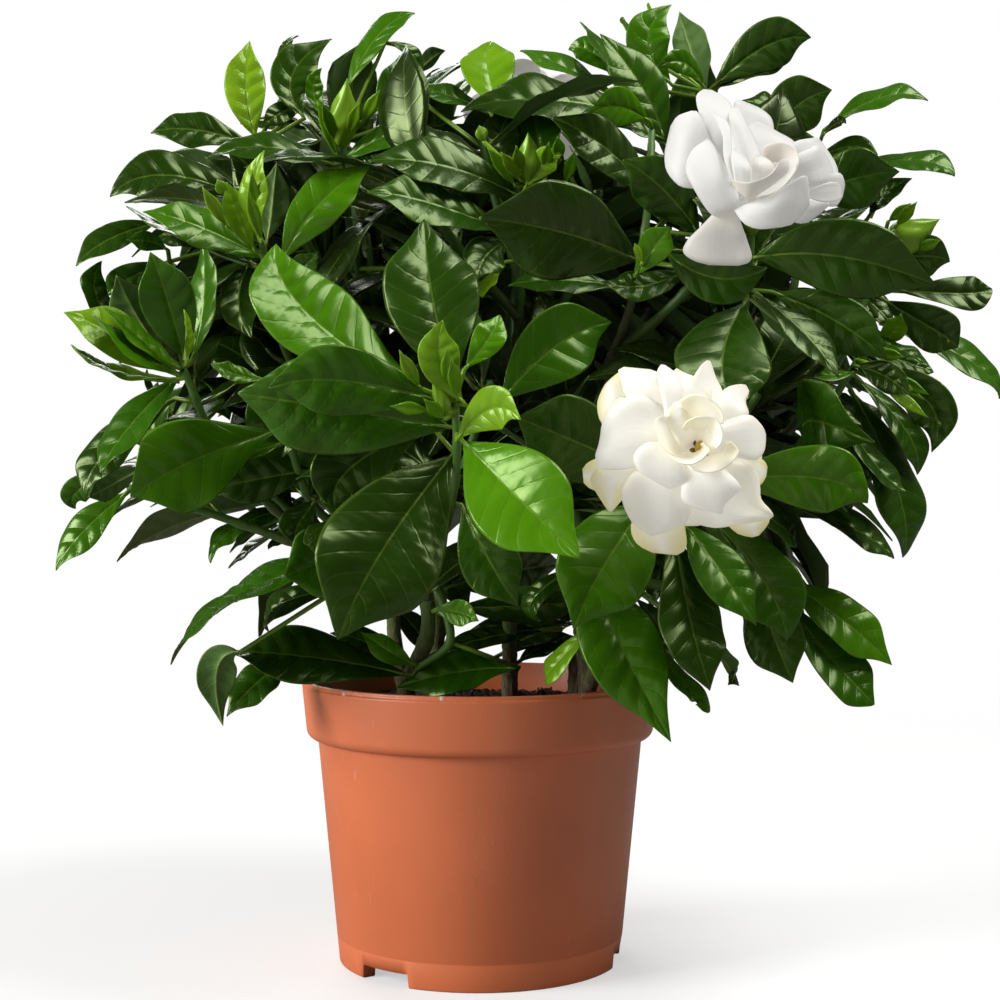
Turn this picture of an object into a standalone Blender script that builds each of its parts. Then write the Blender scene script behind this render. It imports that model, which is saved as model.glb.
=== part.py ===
"""Potted gardenia: a plastic grower's pot, its root ball, five forked woody stems, ten leafy stems
and three double blooms. Metres, +Z up; the pot's axis is Z and its foot stands on Z = 0.
The sizes below are in millimetres, and MM scales them where a mesh is made."""

import bmesh
import bpy
from math import cos, pi, radians, sin, sqrt
from mathutils import Matrix, Vector
from mathutils.bvhtree import BVHTree
from random import Random

MM = 0.001
GAP = 0.3
WELD = 0.01

# Pot
POT_HEIGHT = 102.0
LIP_RADIUS = 65.0
LIP_FOOT_RADIUS = 63.4
LIP_BOTTOM = 81.0
LIP_CORNER = 3.6
RIM_BEAD = 1.3
RIM_INSET = 0.6
WALL_TOP_RADIUS = 59.2
BASE_RADIUS = 51.3
WALL = 1.8
FLOOR_TOP = 7.5
FOOT_HEIGHT = 5.5
FOOT_WIDTH = 5.0
NOTCH_HEIGHT = 4.8
NOTCH_ANGLES = (-40.0, 80.0, 200.0)
NOTCH_SPAN = 24.0
POT_STEPS = 40

# Root ball
SOIL_TOP = 92.0
SOIL_RELIEF = 1.6
SOIL_RINGS = (0.45, 0.75, 1.0)
HOLE_DEPTH = 22.0
HOLE_ROOM = 0.5
HOLE_SIDES = 16

# Woody stems: the foot on the root ball, and the leafy stems that each carries
WOOD_RADIUS = 3.4
WOOD_FORK_RADIUS = 2.8
COLLAR = 6.0
SEAT_RUN = 10.0
WOODY_STEMS = {
    "left": ((-26.0, -24.0), ("front", "left")),
    "middle_left": ((-17.0, 17.0), ("upper_left", "back_left")),
    "middle": ((11.0, 16.0), ("upper_middle", "back_middle")),
    "right": ((36.0, 20.0), ("upper_right", "back_right")),
    "low_right": ((38.0, -26.0), ("right", "low_right")),
}

# Seats of the leafy stems on the woody ones
SEATS = {
    "front": (-17.7, -35.0, 132.5), "left": (-31.0, -12.0, 131.0), "upper_left": (-14.7, -2.0, 145.0),
    "upper_middle": (11.0, -6.0, 146.0), "upper_right": (40.0, 6.0, 142.0), "right": (36.0, -20.0, 139.0),
    "low_right": (42.0, -46.0, 130.0), "back_left": (-21.0, 33.0, 138.0), "back_middle": (11.0, 38.0, 141.0),
    "back_right": (43.0, 34.0, 138.0),
}

# Green shoots
STUB = 7.0
SEAT_RADIUS = 2.5
FORK_RADIUS = 2.1
FORK_SKIP = 2
HEAD_RADIUS = 1.9
HEAD_RUN = 3.0
WAY_PITCH = 5.0
WAY_SLACK = 0.5
WAY_TRIES = 40
WAY_REACH = 0.8

# Leaves and buds
SEED = 41
CLEARANCE = 0.7
LEAF_ASPECT = 0.40
WIDEST_LEAF = 40.0
LEAF_ARCH = 0.07
LEAF_FOLD = 0.16
LEAF_THICKNESS = 0.9
LEAF_RINGS = ((0.24, 0.52), (0.5, 1.0), (0.8, 0.72))
EXTRA_RINGS = ((0.4, 0.92), (0.76, 0.8))
STALK_RING = (0.0, 0.0)
STALK_WIDTH = 1.2
PETIOLE = 3.5
LONG_PETIOLE = 9.0
ROOT_SKIP = 3
YOUNG = 3
UNDERSIDE = 4
TIP_SHIFTS = (0, 4, -4, 8, -8, 12, -12, 17, -17, 22, -22, 28, -28, 35, -35)
NARROWER = (1.0, 0.82, 0.62)
CROSSINGS = (0, 1, 2)
BUD_SIDES = 6
BUD_PROFILE = ((0.0, 0.35), (0.3, 0.95), (0.6, 0.85), (0.85, 0.4))
THINNING = 0.92
SMOOTH_ANGLE = radians(40.0)

# Heads of the shoots at the back, which the photo doesn't show, and how many leaves go on each
BACK_HEADS = {
    "back_left": ((-98, 58, 246), (-52, 70, 306), (-112, 30, 186), (-66, 104, 214), (-30, 112, 262)),
    "back_middle": ((21, 58, 309), (28, 116, 226), (0, 124, 172), (-18, 40, 306)),
    "back_right": ((104, 44, 276), (124, 30, 206), (76, 98, 246), (78, 44, 304), (92, 84, 180)),
}
BACK_LEAVES = 6
HIDDEN_LEAVES = 2
RULE_TRIES = 30
DEEPEST_TIP = 148.0
LOWEST_TIP = 96.0

# Petals
PETAL_CUP = 0.12
PETAL_THICKNESS = 1.2
PETAL_ROOT = 2.0
PETAL_RISE = 3.0
PETAL_ARCH = 2.5
PETAL_STAGGER = 8.0
PETAL_RINGS = ((0.3, 0.4), (0.64, 1.0), (0.9, 0.8))
PLAIN_PETAL_RINGS = ((0.45, 0.9), (0.85, 0.85))
PETAL_SHIFTS = (0, 3, -3, 6, -6, 9, -9, 13, -13)
CUP_TURNS = (0.4, 0.55, 0.25, 0.7, 0.1)

# Middle of a bloom, the green cup under it and the cream bloom's style and anthers
HEART_LENGTH = 9.0
HEART_RADIUS = 6.5
HEART_SIDES = 8
HEART_PROFILE = ((0.03, 0.4), (0.3, 1.0), (0.75, 0.8))
CUP_RADIUS = 2.8
CUP_PROFILE = ((0.0, 0.5), (0.6, 1.0), (0.92, 0.8))
STYLE_LENGTH = 12.0
STYLE_RADIUS = 1.3
STYLE_SIDES = 8
STYLE_PROFILE = ((0.0, 0.6), (0.5, 0.8), (0.75, 1.3), (0.95, 0.9))
ANTHERS = 6
ANTHER_RADIUS = 0.8
ANTHER_SIDES = 4

# Colours and roughness
TERRACOTTA = (0.52, 0.19, 0.10)
POT_ROUGHNESS = 0.5
SOIL_BLACK = (0.012, 0.009, 0.007)
SOIL_ROUGHNESS = 0.95
LEAF_GREEN = Vector((0.018, 0.075, 0.008))
YOUNG_GREEN = Vector((0.20, 0.36, 0.02))
LEAF_ROUGHNESS = 0.3
BARK_BROWN = (0.12, 0.07, 0.035)
BARK_ROUGHNESS = 0.8
WHITE = (0.86, 0.86, 0.84)
CREAM = (0.84, 0.79, 0.64)
PETAL_ROUGHNESS = 0.5
STIGMA_YELLOW = (0.50, 0.36, 0.06)

# View in which the photo positions below are read: the eye (mm), the focal length and the middle (px)
EYE = Vector((7.35, -655.0, 167.3))
FOCAL_PX = 1781.6
MIDDLE_PX = 500.0

# Leafy stems of the plant. Each has the seat of its green part on its woody stem (mm) and its shoots.
# A shoot is the way from its head down to the seat, as photo x px, photo y px, depth mm, and its leaves.
# A leaf is: tip x, y, middle x, y, foot x, y (photo px), seen width (px), depth at foot and tip (mm), tone.
LEAFY_STEMS = {
    "front": {
        "rosette": {
            "way": ((455, 402, -120), (457, 450, -113), (447, 520, -82)),
            "leaves": (
                (424, 219, 433, 300, 455, 385, 96, -112, -88, 0),
                (268, 388, 345, 382, 440, 400, 71, -119, -130, 1),
                (237, 393, 330, 408, 455, 428, 96, -112, -120, 1),
                (443, 320, 440, 362, 466, 405, 42, -122, -131, 3),
                (500, 314, 487, 340, 464, 370, 33, -120, -113, 2),
                (520, 420, 493, 408, 457, 440, 46, -121, -140, 3),
                (581, 558, 514, 494, 462, 440, 100, -117, -146, 2),
                (338, 640, 385, 547, 455, 452, 124, -108, -132, 0),
                (613, 322, 556, 347, 500, 402, 72, -98, -84, 1),
                (335, 508, 350, 468, 430, 425, 70, -100, -108, 0),
                (276, 243, 312, 318, 440, 402, 76, -110, -96, 2),
                (518, 606, 489, 560, 462, 505, 60, -92, -98, 0),
            ),
            "buds": ((432, 380, 448, 412, 15, -126, -121),),
        },
        "low_left": {
            "way": ((352, 548, -72), (400, 585, -52)),
            "leaves": (
                (284, 576, 322, 562, 362, 545, 72, -74, -92, 1),
                (168, 663, 235, 598, 352, 552, 24, -66, -62, 1),
                (315, 552, 335, 525, 372, 500, 24, -82, -98, 0),
                (268, 632, 277, 606, 340, 588, 25, -52, -40, 0),
            ),
            "buds": (),
        },
        "rim": {
            "way": ((418, 668, -36), (424, 630, -36)),
            "leaves": (
                (223, 726, 218, 668, 240, 652, 40, -52, -46, 4),
                (232, 652, 300, 655, 412, 676, 56, -36, -50, 0),
                (396, 688, 458, 672, 520, 668, 42, -36, -57, 1),
                (361, 632, 386, 650, 414, 664, 25, -38, -44, 2),
                (425, 650, 482, 640, 545, 636, 38, -26, -40, 0),
                (478, 621, 458, 612, 432, 612, 27, -40, -52, 2),
            ),
            "buds": (),
        },
    },
    "left": {
        "rosette": {
            "way": ((183, 368, -78), (215, 440, -66), (300, 530, -40)),
            "leaves": (
                (64, 312, 118, 338, 180, 375, 46, -75, -88, 3),
                (72, 344, 112, 369, 180, 379, 12, -76, -90, 3),
                (94, 313, 132, 350, 180, 374, 20, -80, -98, 2),
                (103, 305, 137, 336, 178, 368, 20, -78, -92, 2),
                (116, 275, 136, 315, 168, 357, 44, -68, -74, 4),
                (103, 261, 98, 300, 140, 350, 26, -60, -56, 0),
                (150, 252, 168, 302, 185, 360, 55, -82, -96, 1),
                (202, 236, 204, 300, 190, 364, 30, -78, -76, 1),
                (185, 309, 189, 335, 187, 362, 9, -88, -92, 3),
                (100, 473, 128, 428, 182, 374, 36, -72, -90, 1),
                (85, 495, 108, 450, 175, 398, 40, -62, -74, 0),
                (214, 362, 236, 374, 268, 379, 18, -86, -94, 2),
                (127, 240, 147, 241, 168, 250, 20, -66, -74, 1),
            ),
            "buds": (),
        },
        "low_rosette": {
            "way": ((285, 428, -68), (310, 500, -50)),
            "leaves": (
                (131, 497, 190, 462, 280, 430, 92, -72, -94, 1),
                (222, 447, 246, 452, 284, 442, 16, -70, -76, 1),
                (205, 490, 262, 478, 320, 470, 46, -56, -60, 0),
                (296, 543, 298, 525, 316, 500, 38, -54, -62, 0),
            ),
            "buds": (),
        },
        "side": {
            "way": ((128, 487, -46), (200, 510, -34), (300, 545, -22)),
            "leaves": (
                (55, 570, 85, 530, 130, 490, 33, -46, -54, 1),
                (76, 509, 78, 490, 122, 470, 28, -44, -44, 1),
                (88, 497, 112, 484, 152, 462, 26, -50, -58, 4),
            ),
            "buds": (),
        },
        "low_back": {
            "way": ((302, 505, 8), (345, 555, 0)),
            "leaves": (
                (114, 559, 188, 518, 292, 499, 28, 6, -6, 4),
                (210, 563, 232, 530, 300, 505, 20, 2, -8, 0),
                (229, 552, 258, 528, 302, 510, 14, 8, 2, 4),
                (227, 567, 258, 543, 300, 513, 6, 10, 10, 0),
                (268, 549, 282, 541, 312, 540, 9, 2, -6, 0),
                (258, 641, 276, 590, 310, 545, 27, 0, -4, 4),
            ),
            "buds": (),
        },
    },
    "upper_left": {
        "rosette": {
            "way": ((262, 242, -80), (275, 320, -62), (345, 450, -32)),
            "leaves": (
                (143, 210, 203, 228, 268, 260, 42, -72, -84, 1),
                (127, 205, 190, 240, 268, 268, 10, -68, -80, 1),
                (227, 182, 238, 215, 256, 252, 28, -80, -90, 3),
                (263, 150, 253, 195, 260, 240, 28, -84, -92, 3),
                (277, 162, 273, 205, 266, 243, 34, -76, -78, 4),
                (372, 164, 318, 206, 280, 264, 50, -78, -74, 2),
                (318, 252, 302, 268, 282, 280, 26, -70, -80, 1),
                (252, 338, 239, 300, 250, 262, 40, -68, -76, 0),
                (352, 274, 336, 262, 300, 300, 22, -60, -62, 1),
            ),
            "buds": (),
        },
        "left_arm": {
            "way": ((255, 148, -38), (272, 230, -36), (345, 400, -14)),
            "leaves": (
                (109, 196, 172, 176, 262, 205, 44, -50, -58, 0),
                (150, 132, 197, 130, 255, 146, 36, -36, -40, 0),
                (205, 158, 265, 147, 332, 165, 28, -52, -64, 0),
                (250, 40, 245, 88, 256, 138, 41, -30, -26, 3),
                (75, 265, 112, 238, 160, 222, 30, -46, -56, 0),
                (261, 128, 282, 112, 305, 104, 22, -24, -30, 0),
                (106, 296, 126, 280, 168, 262, 30, -42, -44, 0),
            ),
            "buds": (),
        },
        "big_bud": {
            "way": ((342, 142, -46), (350, 230, -38), (400, 400, -14)),
            "leaves": (
                (332, 38, 292, 76, 305, 118, 44, -30, -22, 0),
                (298, 34, 284, 50, 292, 78, 14, -8, 0, 0),
                (322, 68, 314, 92, 328, 122, 18, -34, -34, 1),
                (425, 124, 382, 138, 342, 160, 26, -46, -58, 1),
                (415, 12, 378, 36, 346, 90, 25, -30, -24, 1),
                (418, 85, 413, 55, 385, 42, 14, -18, -20, 0),
                (400, 55, 394, 90, 380, 128, 36, -34, -32, 0),
                (445, 50, 428, 60, 405, 82, 16, 4, 8, 4),
                (367, 330, 358, 298, 392, 268, 40, -42, -58, 0),
            ),
            "buds": ((347, 78, 341, 146, 28, -58, -47),),
        },
    },
    "upper_middle": {
        "young_bud": {
            "way": ((532, 185, -64), (522, 280, -52), (512, 420, -22)),
            "leaves": (
                (526, 88, 536, 130, 545, 175, 50, -54, -42, 1),
                (517, 106, 500, 142, 522, 178, 40, -56, -50, 0),
                (562, 155, 543, 163, 524, 190, 28, -66, -76, 3),
                (368, 160, 445, 166, 522, 198, 48, -62, -78, 0),
                (368, 190, 438, 206, 510, 232, 44, -66, -88, 0),
                (478, 279, 486, 256, 508, 240, 44, -62, -76, 0),
                (482, 297, 488, 283, 505, 262, 14, -60, -70, 3),
                (400, 142, 438, 137, 500, 168, 16, -52, -60, 0),
                (491, 40, 489, 70, 500, 118, 55, -40, -20, 3),
                (490, 55, 450, 70, 420, 100, 9, -20, 0, 0),
                (412, 84, 445, 94, 490, 112, 18, -32, -26, 0),
            ),
            "buds": ((528, 132, 531, 182, 26, -74, -65),),
        },
        "middle": {
            "way": ((652, 128, -42), (648, 205, -58), (632, 300, -56), (560, 450, -20)),
            "leaves": (
                (460, 108, 545, 99, 640, 118, 46, -40, -52, 0),
                (520, 49, 566, 68, 625, 100, 16, -30, -26, 1),
                (582, 20, 613, 66, 650, 118, 18, -34, -22, 1),
                (568, 50, 592, 52, 628, 84, 26, -22, -16, 1),
                (600, 33, 641, 85, 664, 140, 46, -42, -38, 0),
                (589, 114, 620, 107, 650, 122, 40, -46, -62, 2),
                (551, 117, 610, 152, 656, 205, 44, -58, -72, 0),
                (479, 218, 562, 232, 642, 262, 98, -74, -96, 0),
                (508, 285, 562, 280, 628, 288, 28, -62, -72, 0),
                (602, 280, 642, 286, 690, 268, 30, -70, -78, 0),
                (670, 227, 655, 246, 635, 276, 34, -80, -86, 2),
                (622, 160, 662, 188, 700, 236, 54, -60, -72, 0),
                (635, 243, 638, 252, 642, 264, 8, -84, -78, 3),
            ),
            "buds": (),
        },
        "top": {
            "way": ((704, 92, -16), (692, 200, -22), (600, 400, -8)),
            "leaves": (
                (672, 4, 648, 40, 672, 85, 44, -18, -14, 1),
                (680, 12, 692, 50, 706, 95, 36, -8, 2, 4),
                (657, 68, 685, 63, 706, 92, 22, -20, -32, 1),
                (650, 3, 653, 20, 668, 60, 9, 4, 8, 3),
                (624, 17, 632, 34, 668, 70, 6, 0, 2, 1),
                (811, 38, 766, 46, 710, 90, 50, -20, -32, 0),
            ),
            "buds": (),
        },
    },
    "upper_right": {
        "white_bloom": {
            "way": ((752, 222, -58), (748, 290, -56), (700, 420, -22)),
            "leaves": (
                (937, 286, 848, 257, 752, 258, 78, -66, -74, 0),
                (768, 267, 716, 278, 664, 250, 52, -74, -84, 0),
                (738, 418, 722, 360, 747, 300, 97, -70, -106, 0),
                (839, 377, 803, 332, 755, 292, 28, -66, -80, 0),
                (887, 360, 838, 322, 772, 292, 54, -56, -66, 0),
                (812, 343, 779, 321, 752, 297, 22, -62, -72, 4),
            ),
            "buds": (),
        },
        "right_top": {
            "way": ((812, 165, -16), (800, 260, -26), (740, 420, -8)),
            "leaves": (
                (929, 99, 882, 97, 824, 130, 20, -16, -20, 1),
                (846, 124, 838, 122, 822, 136, 10, -20, -22, 0),
                (878, 155, 852, 147, 816, 158, 20, -14, -22, 0),
                (900, 172, 850, 180, 806, 200, 60, -22, -30, 0),
                (832, 90, 797, 106, 768, 142, 56, -26, -34, 0),
                (955, 176, 912, 160, 826, 172, 16, -12, -22, 1),
            ),
            "buds": (),
        },
        "right_bud": {
            "way": ((878, 258, -22), (850, 340, -26), (770, 450, -8)),
            "leaves": (
                (950, 262, 924, 256, 884, 262, 42, -24, -30, 0),
                (992, 288, 960, 293, 890, 290, 34, -16, -18, 0),
                (958, 348, 934, 330, 884, 300, 46, -22, -30, 0),
                (1000, 399, 972, 362, 880, 322, 30, -6, -4, 1),
                (900, 314, 894, 330, 872, 345, 24, -32, -42, 3),
                (928, 366, 902, 350, 862, 334, 12, -34, -46, 0),
                (934, 372, 905, 362, 852, 342, 26, -20, -22, 0),
            ),
            "buds": ((940, 219, 884, 250, 34, -30, -24),),
        },
    },
    "right": {
        "cream_bloom": {
            "way": ((692, 462, -98), (672, 500, -84), (625, 560, -48)),
            "leaves": (
                (517, 417, 578, 442, 668, 486, 86, -86, -96, 0),
                (868, 503, 812, 478, 706, 482, 68, -88, -106, 1),
                (574, 628, 607, 562, 650, 496, 96, -86, -108, 1),
                (712, 690, 690, 618, 672, 520, 62, -80, -96, 0),
                (757, 625, 722, 572, 682, 522, 50, -82, -98, 1),
                (787, 641, 764, 580, 690, 500, 66, -76, -88, 0),
                (792, 545, 780, 525, 712, 484, 24, -84, -78, 0),
            ),
            "buds": (),
        },
        "far_right": {
            "way": ((858, 360, -50), (812, 430, -50), (700, 530, -36)),
            "leaves": (
                (912, 396, 886, 376, 854, 366, 30, -54, -66, 0),
                (931, 452, 930, 404, 866, 368, 46, -44, -50, 0),
                (918, 475, 906, 430, 854, 376, 26, -48, -54, 0),
                (904, 558, 898, 490, 850, 388, 46, -46, -52, 0),
                (906, 490, 880, 470, 838, 408, 22, -56, -64, 0),
                (857, 486, 856, 465, 832, 420, 30, -54, -60, 0),
                (873, 443, 812, 420, 806, 445, 84, -60, -82, 0),
                (895, 558, 850, 526, 760, 486, 26, -58, -66, 0),
                (862, 425, 838, 412, 815, 405, 10, -58, -64, 0),
                (770, 356, 812, 373, 856, 372, 14, -54, -52, 1),
            ),
            "buds": ((925, 400, 866, 364, 16, -60, -54),),
        },
    },
    "low_right": {
        "side": {
            "way": ((770, 568, -58), (690, 570, -56)),
            "leaves": (
                (793, 683, 774, 636, 752, 582, 60, -58, -66, 0),
                (892, 665, 845, 622, 782, 580, 46, -54, -54, 2),
                (876, 704, 840, 668, 774, 590, 46, -52, -58, 1),
            ),
            "buds": (),
        },
        "rim": {
            "way": ((596, 560, -62),),
            "leaves": (
                (671, 742, 618, 640, 592, 566, 78, -66, -90, 1),
                (545, 680, 556, 664, 596, 622, 22, -58, -50, 3),
                (698, 703, 688, 688, 620, 610, 20, -62, -84, 2),
                (728, 682, 722, 655, 640, 590, 14, -58, -66, 4),
                (541, 623, 532, 600, 580, 566, 22, -66, -70, 0),
            ),
            "buds": (),
        },
    },
}

# Blooms read from the photo. "core" is the point that the petals grow from and "axis" points out of it.
# A petal is: tip x, y, middle x, y (photo px), seen width (px), depth at its middle, depth at its tip (mm).
BLOOMS = {
    "cream": {
        "core": (692, 456, -104),
        "axis": (0.05, -1.0, 0.12),
        "petals": (
            (617, 368, 650, 408, 58, -123, -121),
            (668, 362, 680, 402, 48, -124, -120),
            (708, 359, 706, 402, 46, -120, -112),
            (748, 385, 727, 414, 54, -121, -115),
            (765, 430, 735, 438, 54, -123, -117),
            (769, 472, 737, 468, 54, -119, -110),
            (764, 532, 731, 502, 62, -120, -112),
            (686, 556, 690, 512, 64, -121, -114),
            (646, 551, 662, 515, 48, -119, -110),
            (611, 511, 641, 487, 46, -119, -113),
            (580, 476, 624, 464, 54, -121, -114),
            (599, 404, 636, 430, 54, -120, -111),
            (628, 444, 654, 449, 50, -130, -133),
            (660, 490, 671, 472, 48, -131, -132),
            (723, 513, 709, 482, 58, -130, -131),
            (740, 488, 720, 470, 44, -129, -129),
            (752, 412, 727, 424, 46, -129, -128),
            (662, 372, 673, 408, 40, -129, -131),
        ),
        "cup": (690, 440, 36, 6, 40, -128, -142),
    },
    "white": {
        "core": (752, 196, -66),
        "axis": (0.42, -0.78, 0.46),
        "petals": (
            (712, 91, 720, 126, 44, -82, -80),
            (757, 104, 756, 134, 36, -76, -72),
            (667, 142, 698, 156, 62, -84, -86),
            (703, 206, 718, 180, 58, -92, -98),
            (716, 114, 730, 150, 22, -90, -92),
            (738, 98, 745, 134, 32, -84, -82),
            (718, 267, 724, 238, 72, -88, -94),
            (765, 230, 768, 208, 78, -94, -102),
            (817, 138, 796, 156, 48, -84, -82),
            (845, 182, 814, 184, 50, -86, -88),
            (806, 222, 795, 205, 44, -88, -92),
            (737, 170, 742, 180, 30, -98, -106),
        ),
        "cup": (770, 166, 24, 5, 34, -92, -108),
    },
}

# The shoot that carries each bloom
CARRIERS = {
    "cream": ("right", "cream_bloom"),
    "white": ("upper_right", "white_bloom"),
    "back": ("back_middle", "head_1"),
}

# The foliage's outline in the photo, a little inside its leaf tips (px)
OUTLINE = (
    (75, 345), (90, 300), (100, 262), (80, 262), (118, 215), (112, 196), (150, 160), (152, 130), (180, 111),
    (225, 110), (228, 75), (248, 45), (268, 65), (300, 38), (330, 40), (345, 75), (355, 35), (400, 10),
    (413, 15), (413, 50), (440, 60), (458, 75), (490, 42), (517, 70), (560, 60), (590, 25), (620, 35),
    (650, 8), (675, 8), (715, 50), (740, 30), (800, 25), (808, 50), (830, 82), (838, 105), (880, 92),
    (920, 98), (880, 112), (850, 125), (880, 150), (910, 150), (905, 200), (938, 215), (950, 260),
    (985, 290), (962, 310), (990, 370), (995, 393), (955, 368), (933, 368), (940, 430), (920, 455),
    (915, 545), (903, 556), (870, 520), (862, 485), (865, 502), (800, 512), (795, 540), (802, 575),
    (850, 615), (885, 658), (868, 655), (875, 698), (830, 680), (805, 665), (792, 680), (740, 620),
    (715, 600), (708, 685), (680, 690), (670, 735), (655, 705), (640, 690), (560, 690), (310, 680),
    (260, 680), (225, 715), (210, 680), (230, 655), (325, 620), (320, 595), (300, 590), (262, 625),
    (170, 660), (240, 585), (285, 560), (215, 560), (290, 505), (190, 505), (130, 500), (60, 560),
    (95, 500), (65, 495), (90, 455), (105, 430), (150, 400), (150, 383), (100, 365),
)

# Bloom at the back: its core, its axis and whorls of (petals, length, width, angle off the axis)
BACK_BLOOM = {
    "core": (22.0, 62.0, 315.0),
    "axis": (0.1, 0.6, 0.8),
    "whorls": ((6, 31.0, 19.0, 76.0), (5, 25.0, 16.0, 42.0)),
}


def point_at(px, py, depth):
    """The point at a depth (mm along Y) that the view shows at a photo position."""
    scale = (depth - EYE.y) / FOCAL_PX
    return Vector((EYE.x + (px - MIDDLE_PX) * scale, depth, EYE.z + (MIDDLE_PX - py) * scale))


def photo_position(point):
    """The photo position of a point."""
    scale = FOCAL_PX / (point.y - EYE.y)
    return MIDDLE_PX + (point.x - EYE.x) * scale, MIDDLE_PX - (point.z - EYE.z) * scale


def inside_outline(px, py):
    """Whether a photo position lies inside the foliage's outline."""
    inside = False
    for (ax, ay), (bx, by) in zip(OUTLINE, OUTLINE[1:] + OUTLINE[:1]):
        if (ay > py) != (by > py) and px < (bx - ax) * (py - ay) / (by - ay) + ax:
            inside = not inside
    return inside


def turned(vector, axis, angle):
    """A vector turned about a unit axis."""
    return (vector * cos(angle) + axis.cross(vector) * sin(angle)
            + axis * axis.dot(vector) * (1 - cos(angle)))


def square_to(vector, axis):
    """The part of a vector square to a unit axis, at unit length."""
    return (vector - axis * vector.dot(axis)).normalized()


def smooth_way(points):
    """A smooth curve through the points, with a point about every pitch."""
    lengths = [(b - a).length for a, b in zip(points, points[1:])]
    slopes = [(b - a).normalized() for a, b in zip(points, points[1:])]
    tangents = [slopes[0]]
    for i in range(1, len(slopes)):
        before, after = lengths[i - 1], lengths[i]
        tangents.append((slopes[i] * before + slopes[i - 1] * after) / (before + after))
    tangents.append(slopes[-1])
    way = []
    for i, length in enumerate(lengths):
        steps = max(1, round(length / WAY_PITCH))
        for k in range(steps):
            t = k / steps
            way.append(points[i] * (1 + 2 * t) * (1 - t) ** 2 + points[i + 1] * t * t * (3 - 2 * t)
                       + tangents[i] * length * t * (1 - t) ** 2 - tangents[i + 1] * length * t * t * (1 - t))
    way.append(points[-1].copy())
    return way


def sparse(way):
    """A way without the points that lie nearly straight between those kept."""
    run = (way[-1] - way[0]).normalized()
    strays = [(point - way[0] - run * (point - way[0]).dot(run)).length for point in way]
    widest = max(strays)
    if widest < WAY_SLACK:
        return [way[0], way[-1]]
    turn = strays.index(widest)
    return sparse(way[:turn + 1])[:-1] + sparse(way[turn:])


def tapered(way, first, last):
    """A radius for each point of a way, from first to last."""
    return [first + (last - first) * i / (len(way) - 1) for i in range(len(way))]


def nearest_on(ways, point):
    """The place on a stem's ways nearest to a point, past their first few points."""
    places = []
    for way in ways:
        for start, end in zip(way[ROOT_SKIP:], way[ROOT_SKIP + 1:]):
            run = end - start
            places.append(start + run * min(1.0, max(0.0, (point - start).dot(run) / run.dot(run))))
    return min(places, key=lambda place: (place - point).length)


class Blade:
    """A leaf or petal: its root in the stem, its foot, middle and tip, and its upper face's way."""

    def __init__(self, root, foot, middle, tip, up, width, fold, rings, tone=0):
        self.root = root
        self.foot = foot
        self.middle = middle
        self.tip = tip
        self.up = up
        self.width = width
        self.fold = fold
        self.rings = rings
        self.tone = tone

    def centre(self, t):
        """The midrib from foot to tip: a parabola through the middle."""
        bend = 2 * self.middle - 0.5 * (self.foot + self.tip)
        return self.foot * (1 - t) ** 2 + bend * (2 * t * (1 - t)) + self.tip * t * t

    def shell(self, thickness):
        """Corners and faces: a flat upper face over a keel, from the root to the tip."""
        centres = [self.root] + [self.centre(t) for t, share in self.rings] + [self.tip]
        halves = [0.5 * STALK_WIDTH] + [0.5 * max(self.width * share, STALK_WIDTH) for t, share in self.rings]
        corners = []
        for i, half in enumerate(halves):
            ahead = (centres[i + 1] - centres[i]).normalized()
            behind = (centres[i] - centres[i - 1]).normalized() if i else ahead
            along = (ahead + behind).normalized()
            up = square_to(self.up, along)
            side = along.cross(up)
            top = centres[i] + up * (0.5 * self.fold * half if i else 0.5 * thickness)
            corners += [top + side * half, top - side * half, top - up * thickness]
        corners.append(self.tip.copy())
        last = 3 * len(self.rings)
        faces = [(2, 1, 0)]
        for a in range(0, last, 3):
            for k in range(3):
                b = a + (k + 1) % 3
                faces += [(a + k, b, b + 3), (a + k, b + 3, a + k + 3)]
        faces += [(last + k, last + (k + 1) % 3, last + 3) for k in range(3)]
        return corners, faces


def read_leaf(row, ways, tip_shift, narrow, rings):
    """A leaf from its photo row: its width and lean give the width that the view shows."""
    tip_x, tip_y, mid_x, mid_y, foot_x, foot_y, seen, foot_depth, tip_depth, tone = row
    tip_depth += tip_shift
    middle_depth = 0.5 * (foot_depth + tip_depth)
    foot = point_at(foot_x, foot_y, foot_depth)
    middle = point_at(mid_x, mid_y, middle_depth)
    tip = point_at(tip_x, tip_y, tip_depth)
    seen_mm = narrow * seen * (middle_depth - EYE.y) / FOCAL_PX
    along = (tip - foot).normalized()
    toward = (EYE - middle).normalized()
    across = along.cross(toward).normalized()
    facing = across.cross(along)
    length = (tip - foot).length
    width = max(seen_mm, min(LEAF_ASPECT * length, WIDEST_LEAF))
    share = min(1.0, seen_mm / width)
    lean = across * sqrt(1 - share * share)
    if tone == UNDERSIDE:
        facing = -facing
    up = max((facing * share + lean, facing * share - lean), key=lambda way: way.z)
    arch = toward * (LEAF_ARCH * length * up.dot(toward))
    return Blade(nearest_on(ways, foot), foot, middle + arch, tip, up, width, LEAF_FOLD, rings, tone)


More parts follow.
